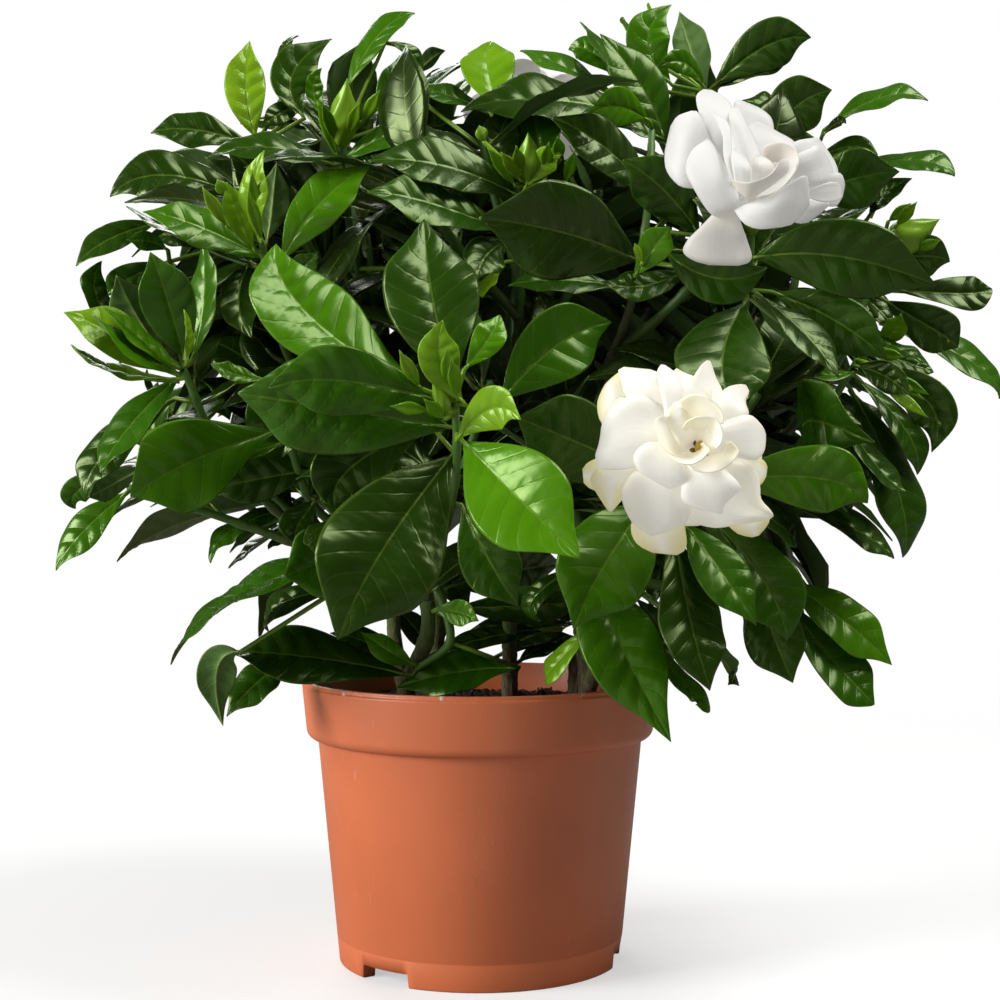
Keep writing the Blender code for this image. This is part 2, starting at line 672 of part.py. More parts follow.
def rule_leaf(way, place, bearing, tilt, length, rng):
    """A leaf that leaves its shoot by rule: its bearing about the shoot and its tilt off the shoot's axis."""
    index = min(len(way) - 2, max(ROOT_SKIP, place))
    root = way[index]
    axis = (way[min(len(way) - 1, index + 2)] - way[max(0, index - 2)]).normalized()
    out = turned(square_to(Vector((0.36, 0.48, 0.8)), axis), axis, bearing)
    along = (axis * cos(tilt) + out * sin(tilt)).normalized()
    up = square_to(axis - out * 0.35 + Vector((0, 0, 0.6)), along)
    foot = root + along * PETIOLE
    droop = Vector((0, 0, -length * rng.uniform(0.05, 0.22)))
    tip = foot + along * length + droop
    middle = foot + along * (0.5 * length) + up * (LEAF_ARCH * length) + droop * 0.2
    return Blade(root, foot, middle, tip, up, length * rng.uniform(0.38, 0.46), LEAF_FOLD, EXTRA_RINGS)


def petal_base(core, axis, tip):
    """A petal's root inside the heart, and its foot."""
    foot = core + axis * PETAL_RISE
    return core + axis * PETAL_ROOT + square_to(tip - foot, axis), foot


def petal_choices(core, axis, places):
    """The petals that a few ways of placing one give, with fine rings and then with plain ones."""
    choices = []
    for rings in (PETAL_RINGS, PLAIN_PETAL_RINGS):
        for tip, middle, width, outward in places:
            root, foot = petal_base(core, axis, tip)
            up = square_to(outward, (tip - foot).normalized())
            choices.append(Blade(root, foot, middle, tip, up, width, PETAL_CUP, rings))
    return choices


def add_settled(petals, choices):
    """Adds the first choice of a petal that crosses the fewest others, and not itself."""
    found = []
    for rank, petal in enumerate(choices):
        shell = petal.shell(PETAL_THICKNESS)
        if not crosses_itself(shell):
            tree = BVHTree.FromPolygons(*shell)
            others = [BVHTree.FromPolygons(*other.shell(PETAL_THICKNESS)) for other in petals]
            found.append((sum(bool(tree.overlap(other)) for other in others), rank, petal))
    if found:
        petals.append(min(found, key=lambda entry: entry[:2])[2])


def photo_bloom(bloom):
    """A bloom's core, axis and petals: the photographed ones, then the cup about its middle."""
    core = point_at(*bloom["core"])
    axis = Vector(bloom["axis"]).normalized()
    petals = []
    for tip_x, tip_y, mid_x, mid_y, seen, mid_depth, tip_depth in bloom["petals"]:
        places = []
        for shift in PETAL_SHIFTS:
            tip = point_at(tip_x, tip_y, tip_depth + shift)
            middle = point_at(mid_x, mid_y, mid_depth + shift)
            width = seen * (mid_depth + shift - EYE.y) / FOCAL_PX
            places.append((tip, middle, width, axis + (core + axis * 40.0 - middle) * 0.02))
        add_settled(petals, petal_choices(core, axis, places))
    x, y, ring, count, seen, foot_depth, tip_depth = bloom["cup"]
    for k in range(count):
        places = []
        for turn in CUP_TURNS:
            angle = 2 * pi * k / count + turn
            across, down = ring * cos(angle), ring * sin(angle)
            tip = point_at(x + across, y + down, tip_depth)
            middle = point_at(x + 1.05 * across, y + 1.05 * down, 0.5 * (foot_depth + tip_depth))
            width = seen * (tip_depth - EYE.y) / FOCAL_PX
            places.append((tip, middle, width, point_at(x, y, tip_depth) - middle))
        add_settled(petals, petal_choices(core, axis, places))
    return core, axis, petals


def ruled_bloom(bloom):
    """A double bloom by rule: whorls of petals that open less towards its middle."""
    core = Vector(bloom["core"])
    axis = Vector(bloom["axis"]).normalized()
    petals = []
    for rank, (count, length, width, angle) in enumerate(bloom["whorls"]):
        for k in range(count):
            out = turned(square_to(Vector((1.0, 0.2, 0.1)), axis), axis, 2 * pi * k / count + 0.5 * rank)
            tilt = radians(angle + PETAL_STAGGER * (k % 2))
            along = axis * cos(tilt) + out * sin(tilt)
            tip = core + axis * PETAL_RISE + along * length
            root, foot = petal_base(core, axis, tip)
            up = square_to(axis, along)
            middle = foot.lerp(tip, 0.55) + up * PETAL_ARCH
            petals.append(Blade(root, foot, middle, tip, up, width, PETAL_CUP,
                                PLAIN_PETAL_RINGS if rank else PETAL_RINGS))
    return core, axis, petals


def bounds_of(corners):
    """Lowest and highest corner of a shell."""
    return [Vector([pick(corner[k] for corner in corners) for k in range(3)]) for pick in (min, max)]


def taken_space(shell):
    """A shell as the clearance test keeps it."""
    low, high = bounds_of(shell[0])
    return low, high, BVHTree.FromPolygons(*shell)


def crossed(space, others):
    """The taken spaces that a space crosses."""
    low, high, tree = space
    near = (other for other in others
            if all(low[k] <= other[1][k] and high[k] >= other[0][k] for k in range(3)))
    return [other for other in near if tree.overlap(other[2])]


def crosses_itself(shell):
    """Whether any two faces of a shell that share no corner cross."""
    faces = shell[1]
    tree = BVHTree.FromPolygons(*shell)
    return any(a < b and not set(faces[a]) & set(faces[b]) for a, b in tree.overlap(tree))


def tube_shell(way, radii, sides=6):
    """Corners and faces of a tapered tube along a way."""
    corners = []
    faces = []
    out = Vector((0.9, 0.3, 0.2))
    for i, (point, radius) in enumerate(zip(way, radii)):
        along = (way[min(i + 1, len(way) - 1)] - way[max(i - 1, 0)]).normalized()
        out = square_to(out, along)
        corners += [point + turned(out, along, 2 * pi * k / sides) * radius for k in range(sides)]
    for i in range(len(way) - 1):
        for k in range(sides):
            a = i * sides + k
            b = i * sides + (k + 1) % sides
            faces.append((a, b, b + sides, a + sides))
    faces.append(tuple(reversed(range(sides))))
    faces.append(tuple(range(len(corners) - sides, len(corners))))
    return corners, faces


def ring_shell(profile):
    """Corners and faces of a closed profile of (radius, height) turned about Z."""
    count = len(profile)
    corners = [Vector((r * cos(2 * pi * k / POT_STEPS), r * sin(2 * pi * k / POT_STEPS), z))
               for k in range(POT_STEPS) for r, z in profile]
    faces = []
    for k in range(POT_STEPS):
        here, there = k * count, (k + 1) % POT_STEPS * count
        for i in range(count):
            j = (i + 1) % count
            faces.append((here + i, here + j, there + j, there + i))
    return corners, faces


class Planting:
    """Every stem, leaf, bud and petal, placed so that those of different nodes stay clear."""

    def __init__(self):
        self.rng = Random(SEED)
        self.taken = {}
        self.own = {name: [] for name in SEATS}
        self.ways = {name: {} for name in SEATS}
        self.blades = {name: [] for name in SEATS}
        self.buds = {name: [] for name in SEATS}
        self.cups = {name: [] for name in SEATS}
        self.blooms = {}
        self.wood = {}
        self.place_pot()
        self.place_wood()
        self.place_blooms()
        self.place_shoots()
        self.place_cups()
        self.place_photo_leaves()
        self.place_rule_leaves()

    def is_clear(self, name, shell):
        """Whether a shell crosses nothing that another node has taken."""
        others = [space for owner, spaces in self.taken.items() if owner != name for space in spaces]
        return not crossed(taken_space(shell), others)

    def place_pot(self):
        """The pot's wall and the root ball, a little grown."""
        inner = LIP_RADIUS - WALL - CLEARANCE
        brim = POT_HEIGHT + CLEARANCE
        crust = SOIL_TOP + SOIL_RELIEF
        wall = ((LIP_RADIUS + CLEARANCE, brim), (LIP_RADIUS + CLEARANCE, 0.0), (inner, 0.0), (inner, brim))
        ball = ((inner, crust), (inner, 0.5 * crust), (1.0, 0.5 * crust), (1.0, crust))
        self.taken["pot"] = [taken_space(ring_shell(wall)), taken_space(ring_shell(ball))]

    def place_wood(self):
        """Woody stems: a main one from its hole to its first seat, and a fork to its second."""
        for name, ((x, y), owners) in WOODY_STEMS.items():
            heights = (SOIL_TOP - HOLE_DEPTH + GAP, SOIL_TOP + 2.0, SOIL_TOP + COLLAR)
            upright = [Vector((x, y, z)) for z in heights]
            ways = []
            for points, owner in zip((upright, upright[-1:]), owners):
                seat = Vector(SEATS[owner])
                top = [seat - Vector((0, 0, run)) for run in (SEAT_RUN, GAP)]
                ways.append(smooth_way(points + top))
            self.wood[name] = ways
            shells = [tube_shell(way, tapered(way, WOOD_RADIUS + CLEARANCE, SEAT_RADIUS), 8) for way in ways]
            self.taken["woody_stem_" + name] = [taken_space(shell) for shell in shells]

    def place_blooms(self):
        """Petals, before any leaf."""
        for name, bloom in BLOOMS.items():
            self.blooms[name] = photo_bloom(bloom)
        self.blooms["back"] = ruled_bloom(BACK_BLOOM)
        for name, (core, axis, petals) in self.blooms.items():
            shells = [petal.shell(PETAL_THICKNESS + 2 * CLEARANCE) for petal in petals]
            self.taken["bloom_" + name] = [taken_space(shell) for shell in shells]

    def place_shoots(self):
        """The ways of the shoots, from their seat to their heads."""
        for name, stem in LEAFY_STEMS.items():
            self.taken[name] = []
            for key, shoot in stem.items():
                self.find_way(name, key, [point_at(*place) for place in reversed(shoot["way"])])
        for name, heads in BACK_HEADS.items():
            self.taken[name] = []
            seat = Vector(SEATS[name])
            for rank, head in enumerate(heads):
                head = Vector(head)
                bend = seat.lerp(head, 0.5) - Vector((0, 0, 0.12 * (head - seat).length))
                self.find_way(name, "head_%d" % (rank + 1), [bend, head])

    def find_way(self, name, key, points):
        """Places a shoot, and shifts the inner points of its way until it is clear."""
        seat = Vector(SEATS[name])
        start = [seat, seat + Vector((0, 0, STUB))]
        inner = points[:-1]
        for tries in range(WAY_TRIES):
            way = smooth_way(start + inner + points[-1:])
            shell = tube_shell(way[1:], tapered(way[1:], SEAT_RADIUS + CLEARANCE, HEAD_RADIUS + CLEARANCE))
            if self.is_clear(name, shell):
                break
            reach = WAY_REACH * (tries + 1)
            inner = [point + Vector([self.rng.uniform(-reach, reach) for k in range(3)])
                     for point in points[:-1]]
        self.ways[name][key] = way
        self.taken[name].append(taken_space(shell))

    def place_cups(self):
        """The green cup under each bloom, from its shoot's head to its core."""
        for name, (owner, key) in CARRIERS.items():
            core, axis, petals = self.blooms[name]
            self.cups[owner].append((self.ways[owner][key][-2], core - axis * GAP))

    def keep(self, name, blade, most_crossings):
        """Keeps a blade if it is clear of other nodes and crosses few blades of its own past its foot."""
        if (blade.foot - blade.root).length > LONG_PETIOLE:
            blade.rings = (STALK_RING,) + blade.rings
        corners, faces = blade.shell(LEAF_THICKNESS)
        past_foot = taken_space((corners, [face for face in faces if max(face) > 5]))
        grown = blade.shell(LEAF_THICKNESS + 2 * CLEARANCE)
        if (crosses_itself((corners, faces)) or len(crossed(past_foot, self.own[name])) > most_crossings
                or not self.is_clear(name, grown)):
            return False
        self.own[name].append(taken_space((corners, faces)))
        self.taken[name].append(taken_space(grown))
        self.blades[name].append(blade)
        return True

    def place_photo_leaves(self):
        """The leaves and buds read from the photo, shifted along the view where they would cross others."""
        for name, stem in LEAFY_STEMS.items():
            ways = self.ways[name].values()
            for shoot in stem.values():
                for row in shoot["leaves"]:
                    self.place_leaf(name, row, ways)
                for tip_x, tip_y, foot_x, foot_y, seen, tip_depth, foot_depth in shoot["buds"]:
                    foot = point_at(foot_x, foot_y, foot_depth)
                    tip = point_at(tip_x, tip_y, tip_depth)
                    radius = 0.5 * seen * (tip_depth - EYE.y) / FOCAL_PX
                    shell = tube_shell((foot, tip), (radius + CLEARANCE, radius + CLEARANCE))
                    if self.is_clear(name, shell):
                        self.buds[name].append((nearest_on(ways, foot), foot, tip, radius))
                        self.taken[name].append(taken_space(shell))

    def place_leaf(self, name, row, ways):
        """Tries a leaf at its depth and near it, then narrower, with fewer rings or with more crossings."""
        for narrow in NARROWER:
            for rings in (LEAF_RINGS, EXTRA_RINGS):
                for most_crossings in CROSSINGS:
                    for shift in TIP_SHIFTS:
                        if self.keep(name, read_leaf(row, ways, shift, narrow, rings), most_crossings):
                            return

    def place_rule_leaves(self):
        """Leaves that the photo doesn't show: behind its shoots, and about the heads at the back."""
        for name, ways in self.ways.items():
            for way in ways.values():
                if name in LEAFY_STEMS:
                    self.add_hidden(name, way)
                else:
                    self.add_whorls(name, way)

    def add_whorls(self, name, way):
        """Whorls of three leaves down a shoot, longer and flatter from the head down."""
        rng = self.rng
        added = 0
        for tries in range(BACK_LEAVES * RULE_TRIES):
            whorl = added // 3
            bearing = 2 * pi * (added % 3) / 3 + 1.05 * whorl + rng.uniform(-0.5, 0.5)
            tilt = radians(rng.uniform(18, 60) + 19 * whorl)
            length = rng.uniform(36, 46) + 12 * whorl
            place = len(way) - 1 - int(rng.uniform(0.4, 1.6) + 1.8 * whorl)
            added += self.keep_inside(name, rule_leaf(way, place, bearing, tilt, length, rng))
            if added == BACK_LEAVES:
                break

    def add_hidden(self, name, way):
        """Leaves that point away from the view."""
        rng = self.rng
        added = 0
        for tries in range(HIDDEN_LEAVES * RULE_TRIES):
            place = len(way) - 2 - int(rng.uniform(0, 9))
            tilt = radians(rng.uniform(45, 105))
            blade = rule_leaf(way, place, rng.uniform(0, 2 * pi), tilt, rng.uniform(46, 62), rng)
            if blade.tip.y > blade.root.y + PETIOLE:
                added += self.keep_inside(name, blade)
            if added == HIDDEN_LEAVES:
                break

    def keep_inside(self, name, blade):
        """Keeps a blade that the foliage's outline hides and that crosses none."""
        hidden = all(inside_outline(*photo_position(point)) for point in (blade.tip, blade.middle))
        if not hidden or blade.tip.y > DEEPEST_TIP or blade.tip.z < LOWEST_TIP:
            return False
        return self.keep(name, blade, 0)


def material(name, colour, roughness):
    """A plain Principled material."""
    made = bpy.data.materials.new(name)
    made.use_nodes = True
    shader = made.node_tree.nodes["Principled BSDF"]
    shader.inputs["Base Color"].default_value = (*colour, 1.0)
    shader.inputs["Roughness"].default_value = roughness
    shader.inputs["Metallic"].default_value = 0.0
    return made


def add_object(name, mesh, group, surface):
    """An object for a mesh, shaded smooth but for its sharp edges."""
    mesh.materials.clear()
    mesh.materials.append(surface)
    mesh.shade_smooth()
    mesh.set_sharp_from_angle(angle=SMOOTH_ANGLE)
    made = bpy.data.objects.new(name, mesh)
    group.objects.link(made)
    return made


def turn_outward(mesh, weld):
    """Turns a closed mesh's faces outward, after welding its loose caps."""
    sheet = bmesh.new()
    sheet.from_mesh(mesh)
    if weld:
        bmesh.ops.remove_doubles(sheet, verts=sheet.verts, dist=WELD * MM)
    bmesh.ops.recalc_face_normals(sheet, faces=sheet.faces)
    sheet.to_mesh(mesh)
    sheet.free()


def evaluated_mesh(source):
    """A linked object's mesh with its modifiers, in world space; the object is removed."""
    bpy.context.view_layer.update()
    mesh = bpy.data.meshes.new_from_object(source.evaluated_get(bpy.context.evaluated_depsgraph_get()))
    mesh.transform(source.matrix_world)
    bpy.data.objects.remove(source)
    return mesh


def blade_object(name, blade, thickness, group, surface):
    """A leaf or petal: a loft of three-cornered sections."""
    corners, faces = blade.shell(thickness)
    mesh = bpy.data.meshes.new(name)
    mesh.from_pydata([corner * MM for corner in corners], [], faces)
    turn_outward(mesh, weld=False)
    return add_object(name, mesh, group, surface)


def tube_object(name, way, radii, group, surface):
    """A round tapered tube: a curve with a bevel and filled caps, made a mesh."""
    curve = bpy.data.curves.new(name, "CURVE")
    curve.dimensions = "3D"
    curve.bevel_depth = MM
    curve.bevel_resolution = 1
    curve.use_fill_caps = True
    spline = curve.splines.new("POLY")
    spline.points.add(len(way) - 1)
    for place, point, radius in zip(spline.points, way, radii):
        place.co = (*(point * MM), 1.0)
        place.radius = radius
    source = bpy.data.objects.new(name, curve)
    group.objects.link(source)
    mesh = evaluated_mesh(source)
    turn_outward(mesh, weld=True)
    return add_object(name, mesh, group, surface)


def turned_object(name, profile, steps, group, surface, place=Matrix()):
    """A solid of revolution: a profile of (radius, height) with a Screw modifier, then put in its place."""
    corners = [(radius * MM, 0.0, height * MM) for radius, height in profile]
    edges = [(i, (i + 1) % len(corners)) for i in range(len(corners))]
    off_axis = [edge for edge in edges if any(profile[i][0] > 0.0 for i in edge)]
    mesh = bpy.data.meshes.new(name)
    mesh.from_pydata(corners, off_axis, [])
    source = bpy.data.objects.new(name, mesh)
    group.objects.link(source)
    screw = source.modifiers.new("turn", "SCREW")
    screw.steps = steps
    screw.render_steps = steps
    screw.use_merge_vertices = True
    screw.merge_threshold = 0.0001
    solid = evaluated_mesh(source)
    turn_outward(solid, weld=True)
    solid.transform(place)
    return add_object(name, solid, group, surface)


def spindle_object(name, foot, tip, radius, profile, sides, group, surface):
    """A spindle of revolution from its foot to its tip; its profile is (share of length, share of radius)."""
    length = (tip - foot).length
    side = [(radius * share, length * t) for t, share in reversed(profile)]
    outline = [(0.0, length)] + side + [(0.0, 0.0)]
    turn = (tip - foot).to_track_quat("Z", "Y").to_matrix().to_4x4()
    return turned_object(name, outline, sides, group, surface, Matrix.Translation(foot * MM) @ turn)


def united(name, pieces, group, surface):
    """One solid from overlapping pieces, without the needless corners that the union leaves."""
    joined = bpy.data.collections.new(name + "_pieces")
    bpy.context.scene.collection.children.link(joined)
    whole = pieces[0]
    for piece in pieces[1:]:
        joined.objects.link(piece)
        group.objects.unlink(piece)
    union = whole.modifiers.new("union", "BOOLEAN")
    union.operation = "UNION"
    union.operand_type = "COLLECTION"
    union.collection = joined
    union.solver = "MANIFOLD"
    whole.modifiers.new("thinning", "DECIMATE").ratio = THINNING
    mesh = evaluated_mesh(whole)
    mesh.name = name
    for piece in pieces[1:]:
        bpy.data.objects.remove(piece)
    bpy.data.collections.remove(joined)
    return add_object(name, mesh, group, surface)


def cut_by(part, cutter, name, cutters):
    """Cuts a part by a primitive that was just added, and puts the cutter in the cutters' collection."""
    cutter.name = name
    for owner in list(cutter.users_collection):
        owner.objects.unlink(cutter)
    cutters.objects.link(cutter)
    cutter.hide_render = True
    cutter.display_type = "WIRE"
    cut = part.modifiers.new(name, "BOOLEAN")
    cut.operation = "DIFFERENCE"
    cut.object = cutter


def pot_outside():
    """The pot's outer side from its rim to its foot."""
    corner = [(LIP_FOOT_RADIUS - LIP_CORNER * (1 - cos(turn)), LIP_BOTTOM + LIP_CORNER * (1 - sin(turn)))
              for turn in (0.0, 0.25 * pi, 0.5 * pi)]
    rim = [(LIP_RADIUS - RIM_INSET, POT_HEIGHT), (LIP_RADIUS - RIM_INSET, POT_HEIGHT - RIM_BEAD),
           (LIP_RADIUS, POT_HEIGHT - RIM_BEAD - RIM_INSET)]
    return rim + corner + [(WALL_TOP_RADIUS, LIP_BOTTOM), (BASE_RADIUS, 0.0)]


def pot_inside():
    """The pot's inner side from its floor to its rim."""
    taper = (WALL_TOP_RADIUS - BASE_RADIUS) / LIP_BOTTOM
    return [(BASE_RADIUS + taper * FLOOR_TOP - WALL, FLOOR_TOP), (WALL_TOP_RADIUS - WALL, LIP_BOTTOM + WALL),
            (LIP_FOOT_RADIUS - WALL, LIP_BOTTOM + 2 * WALL), (LIP_RADIUS - RIM_INSET - WALL, POT_HEIGHT)]


def build_pot(group, cutters):
    """The pot: a turned shell with a raised floor, and three notches in its foot ring."""
    under = [(BASE_RADIUS - FOOT_WIDTH, 0.0), (BASE_RADIUS - FOOT_WIDTH, FOOT_HEIGHT), (0.0, FOOT_HEIGHT)]
    profile = pot_outside() + under + [(0.0, FLOOR_TOP)] + pot_inside()
    pot = turned_object("pot", profile, POT_STEPS, group, material("pot", TERRACOTTA, POT_ROUGHNESS))
    for rank, angle in enumerate(NOTCH_ANGLES):
        turn = radians(angle)
        bpy.ops.mesh.primitive_cube_add(size=1.0)
        cutter = bpy.context.object
        cutter.scale = (BASE_RADIUS * radians(NOTCH_SPAN) * MM, 2.4 * FOOT_WIDTH * MM, 2 * NOTCH_HEIGHT * MM)
        cutter.location = (sin(turn) * BASE_RADIUS * MM, -cos(turn) * BASE_RADIUS * MM, 0.0)
        cutter.rotation_euler.z = turn
        cut_by(pot, cutter, "notch_cutter_%d" % (rank + 1), cutters)


def build_soil(group, cutters):
    """The root ball: a turned solid with an uneven top and a plain hole for each woody stem."""
    (foot, low), (top, high) = pot_inside()[-2:]
    edge = foot + (top - foot) * (SOIL_TOP - low) / (high - low) - GAP
    floor = FLOOR_TOP + GAP
    crust = [(0.0, SOIL_TOP)] + [(edge * share, SOIL_TOP) for share in SOIL_RINGS]
    side = [(radius - GAP, max(height, floor)) for radius, height in reversed(pot_inside()[:3])]
    soil = turned_object("soil", crust + side + [(0.0, floor)], POT_STEPS, group,
                         material("soil", SOIL_BLACK, SOIL_ROUGHNESS))
    for corner in soil.data.vertices:
        x, y, z = corner.co / MM
        if z > SOIL_TOP - 1.0 and sqrt(x * x + y * y) < edge - 1.0:
            wave = 0.5 * (sin(0.21 * x + 1.0) * cos(0.17 * y) + sin(0.4 * y + 0.3 * x))
            corner.co.z += SOIL_RELIEF * wave * MM
    for name, ((x, y), owners) in WOODY_STEMS.items():
        bpy.ops.mesh.primitive_cylinder_add(vertices=HOLE_SIDES, radius=(WOOD_RADIUS + HOLE_ROOM) * MM,
                                            depth=2 * HOLE_DEPTH * MM,
                                            location=(x * MM, y * MM, SOIL_TOP * MM))
        cut_by(soil, bpy.context.object, "hole_cutter_" + name, cutters)


def build_woody_stem(name, planting, group):
    """A forked woody stem that stands in its hole."""
    surface = material("woody_stem_" + name, BARK_BROWN, BARK_ROUGHNESS)
    pieces = []
    for way, radius in zip(planting.wood[name], (WOOD_RADIUS, WOOD_FORK_RADIUS)):
        run = sparse(way)
        pieces.append(tube_object("limb", run, tapered(run, radius, SEAT_RADIUS), group, surface))
    united("woody_stem_" + name, pieces, group, surface)


def shoot_tubes(ways, group, surface):
    """A stem's shoots: the first from the seat, the others from inside it, each a bit past its last leaf."""
    pieces = []
    for way in ways:
        run = sparse(way[FORK_SKIP:] if pieces else way)
        radii = tapered(run, FORK_RADIUS if pieces else SEAT_RADIUS, HEAD_RADIUS) + [0.6 * HEAD_RADIUS]
        run.append(run[-1] + (way[-1] - way[-2]).normalized() * HEAD_RUN)
        pieces.append(tube_object("shoot", run, radii, group, surface))
    return pieces


def build_leafy_stem(name, planting, group):
    """A leafy stem: its green shoots, leaves, buds and bloom cup as one solid."""
    blades = planting.blades[name]
    young = sum(blade.tone == YOUNG for blade in blades) / len(blades)
    surface = material("leafy_stem_" + name, LEAF_GREEN.lerp(YOUNG_GREEN, young), LEAF_ROUGHNESS)
    pieces = shoot_tubes(planting.ways[name].values(), group, surface)
    pieces += [blade_object("leaf", blade, LEAF_THICKNESS, group, surface) for blade in blades]
    for root, foot, tip, radius in planting.buds[name]:
        stalk = [root, foot, foot.lerp(tip, 0.3)]
        pieces.append(tube_object("stalk", stalk, [HEAD_RADIUS] * 3, group, surface))
        pieces.append(spindle_object("bud", foot, tip, radius, BUD_PROFILE, BUD_SIDES, group, surface))
    for foot, tip in planting.cups[name]:
        pieces.append(spindle_object("cup", foot, tip, CUP_RADIUS, CUP_PROFILE, BUD_SIDES, group, surface))
    united("leafy_stem_" + name, pieces, group, surface)


def build_bloom(name, planting, group):
    """A double bloom: its petals on a small heart."""
    core, axis, petals = planting.blooms[name]
    surface = material("bloom_" + name, CREAM if name == "cream" else WHITE, PETAL_ROUGHNESS)
    end = core + axis * HEART_LENGTH
    pieces = [spindle_object("heart", core, end, HEART_RADIUS, HEART_PROFILE, HEART_SIDES, group, surface)]
    pieces += [blade_object("petal", petal, PETAL_THICKNESS, group, surface) for petal in petals]
    united("bloom_" + name, pieces, group, surface)


def build_bloom_centre(planting, group):
    """The cream bloom's style and the anthers about it."""
    core, axis, petals = planting.blooms["cream"]
    surface = material("bloom_centre", STIGMA_YELLOW, PETAL_ROUGHNESS)
    foot = core + axis * (HEART_LENGTH + GAP)
    tip = foot + axis * STYLE_LENGTH
    pieces = [spindle_object("style", foot, tip, STYLE_RADIUS, STYLE_PROFILE, STYLE_SIDES, group, surface)]
    start = foot.lerp(tip, 0.35)
    for rank in range(ANTHERS):
        out = turned(square_to(Vector((1.0, 0.0, 0.2)), axis), axis, 2 * pi * rank / ANTHERS)
        end = start + axis * (0.45 * STYLE_LENGTH) + out * (1.5 * STYLE_RADIUS)
        pieces.append(spindle_object("anther", start, end, ANTHER_RADIUS, BUD_PROFILE, ANTHER_SIDES,
                                     group, surface))
    united("bloom_centre", pieces, group, surface)


def main():
    """Clears the scene and builds the plant and its pot."""
    for old in list(bpy.data.objects):
        bpy.data.objects.remove(old)
    group = bpy.data.collections.new("potted_gardenia")
    cutters = bpy.data.collections.new("cutters")
    for collection in (group, cutters):
        bpy.context.scene.collection.children.link(collection)
    planting = Planting()
    build_pot(group, cutters)
    build_soil(group, cutters)
    for name in WOODY_STEMS:
        build_woody_stem(name, planting, group)
    for name in SEATS:
        build_leafy_stem(name, planting, group)
    for name in planting.blooms:
        build_bloom(name, planting, group)
    build_bloom_centre(planting, group)


main()
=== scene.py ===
from collections import defaultdict
from dataclasses import dataclass
from functools import cache
from itertools import product
from math import cos, pi, radians, sin, sqrt
from random import Random

import bmesh
import bpy
import numpy as np
from mathutils import Matrix, Vector
from mathutils.bvhtree import BVHTree


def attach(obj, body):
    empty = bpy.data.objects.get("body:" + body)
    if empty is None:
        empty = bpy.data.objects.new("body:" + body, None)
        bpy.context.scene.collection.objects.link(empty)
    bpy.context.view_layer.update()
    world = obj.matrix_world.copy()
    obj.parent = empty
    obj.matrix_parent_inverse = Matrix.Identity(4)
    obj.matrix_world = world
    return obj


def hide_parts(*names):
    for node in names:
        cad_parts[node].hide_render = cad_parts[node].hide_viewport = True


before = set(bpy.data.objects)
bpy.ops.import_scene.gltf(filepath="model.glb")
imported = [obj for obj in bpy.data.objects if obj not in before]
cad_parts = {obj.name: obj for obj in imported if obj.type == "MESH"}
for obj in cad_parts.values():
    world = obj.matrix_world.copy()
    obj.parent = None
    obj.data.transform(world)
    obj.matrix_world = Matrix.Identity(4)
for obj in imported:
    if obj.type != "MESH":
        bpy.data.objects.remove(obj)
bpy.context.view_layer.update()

bl_info = {
    "name": "Potted gardenia",
    "version": (1, 0, 0),
    "blender": (4, 5, 0),
    "location": "3D View > Sidebar > Gardenia",
    "description": "A flowering gardenia in a plastic grower's pot",
    "category": "Add Mesh",
}

# Seeds of everything random
SEEDS = {"plant": 41, "fill": 7, "wood": 3, "inner": 5, "style": 9, "soil": 11, "blooms": 50, "shoots": 100}

# All lengths are in millimetres until a mesh is made
MM = 0.001
GAP = 0.3

# Pot
POT_HEIGHT = 102.0
LIP_RADIUS = 65.0
LIP_FOOT_RADIUS = 63.4
LIP_BOTTOM = 81.0
LIP_CORNER = 3.6
RIM_BEAD = 1.3
RIM_INSET = 0.6
WALL_TOP_RADIUS = 59.2
BASE_RADIUS = 51.3
WALL = 1.8
FLOOR_TOP = 7.5
FOOT_HEIGHT = 5.5
FOOT_WIDTH = 5.0
NOTCH_HEIGHT = 4.8
NOTCH_ANGLES = (-40.0, 80.0, 200.0)
NOTCH_SPAN = 24.0
POT_STEPS = 40

# Root ball
SOIL_TOP = 92.0
SOIL_RELIEF = 1.6
HOLE_DEPTH = 22.0

# Woody stems: the foot on the root ball, and the leafy stems that each carries
WOOD_RADIUS = 3.4
WOOD_FORK_RADIUS = 2.8
COLLAR = 6.0
SEAT_RUN = 10.0
WOODY_STEMS = {
    "left": ((-26.0, -24.0), ("front", "left")),
    "middle_left": ((-17.0, 17.0), ("upper_left", "back_left")),
    "middle": ((11.0, 16.0), ("upper_middle", "back_middle")),
    "right": ((36.0, 20.0), ("upper_right", "back_right")),
    "low_right": ((38.0, -26.0), ("right", "low_right")),
}

# Seats of the leafy stems on the woody ones
SEATS = {
    "front": (-17.7, -35.0, 132.5), "left": (-31.0, -12.0, 131.0), "upper_left": (-14.7, -2.0, 145.0),
    "upper_middle": (11.0, -6.0, 146.0), "upper_right": (40.0, 6.0, 142.0), "right": (36.0, -20.0, 139.0),
    "low_right": (42.0, -46.0, 130.0), "back_left": (-21.0, 33.0, 138.0), "back_middle": (11.0, 38.0, 141.0),
    "back_right": (43.0, 34.0, 138.0),
}

# Green shoots
STUB = 7.0
SEAT_RADIUS = 2.5
HEAD_RADIUS = 1.9
WAY_PITCH = 5.0
WAY_TRIES = 40
WAY_REACH = 0.8

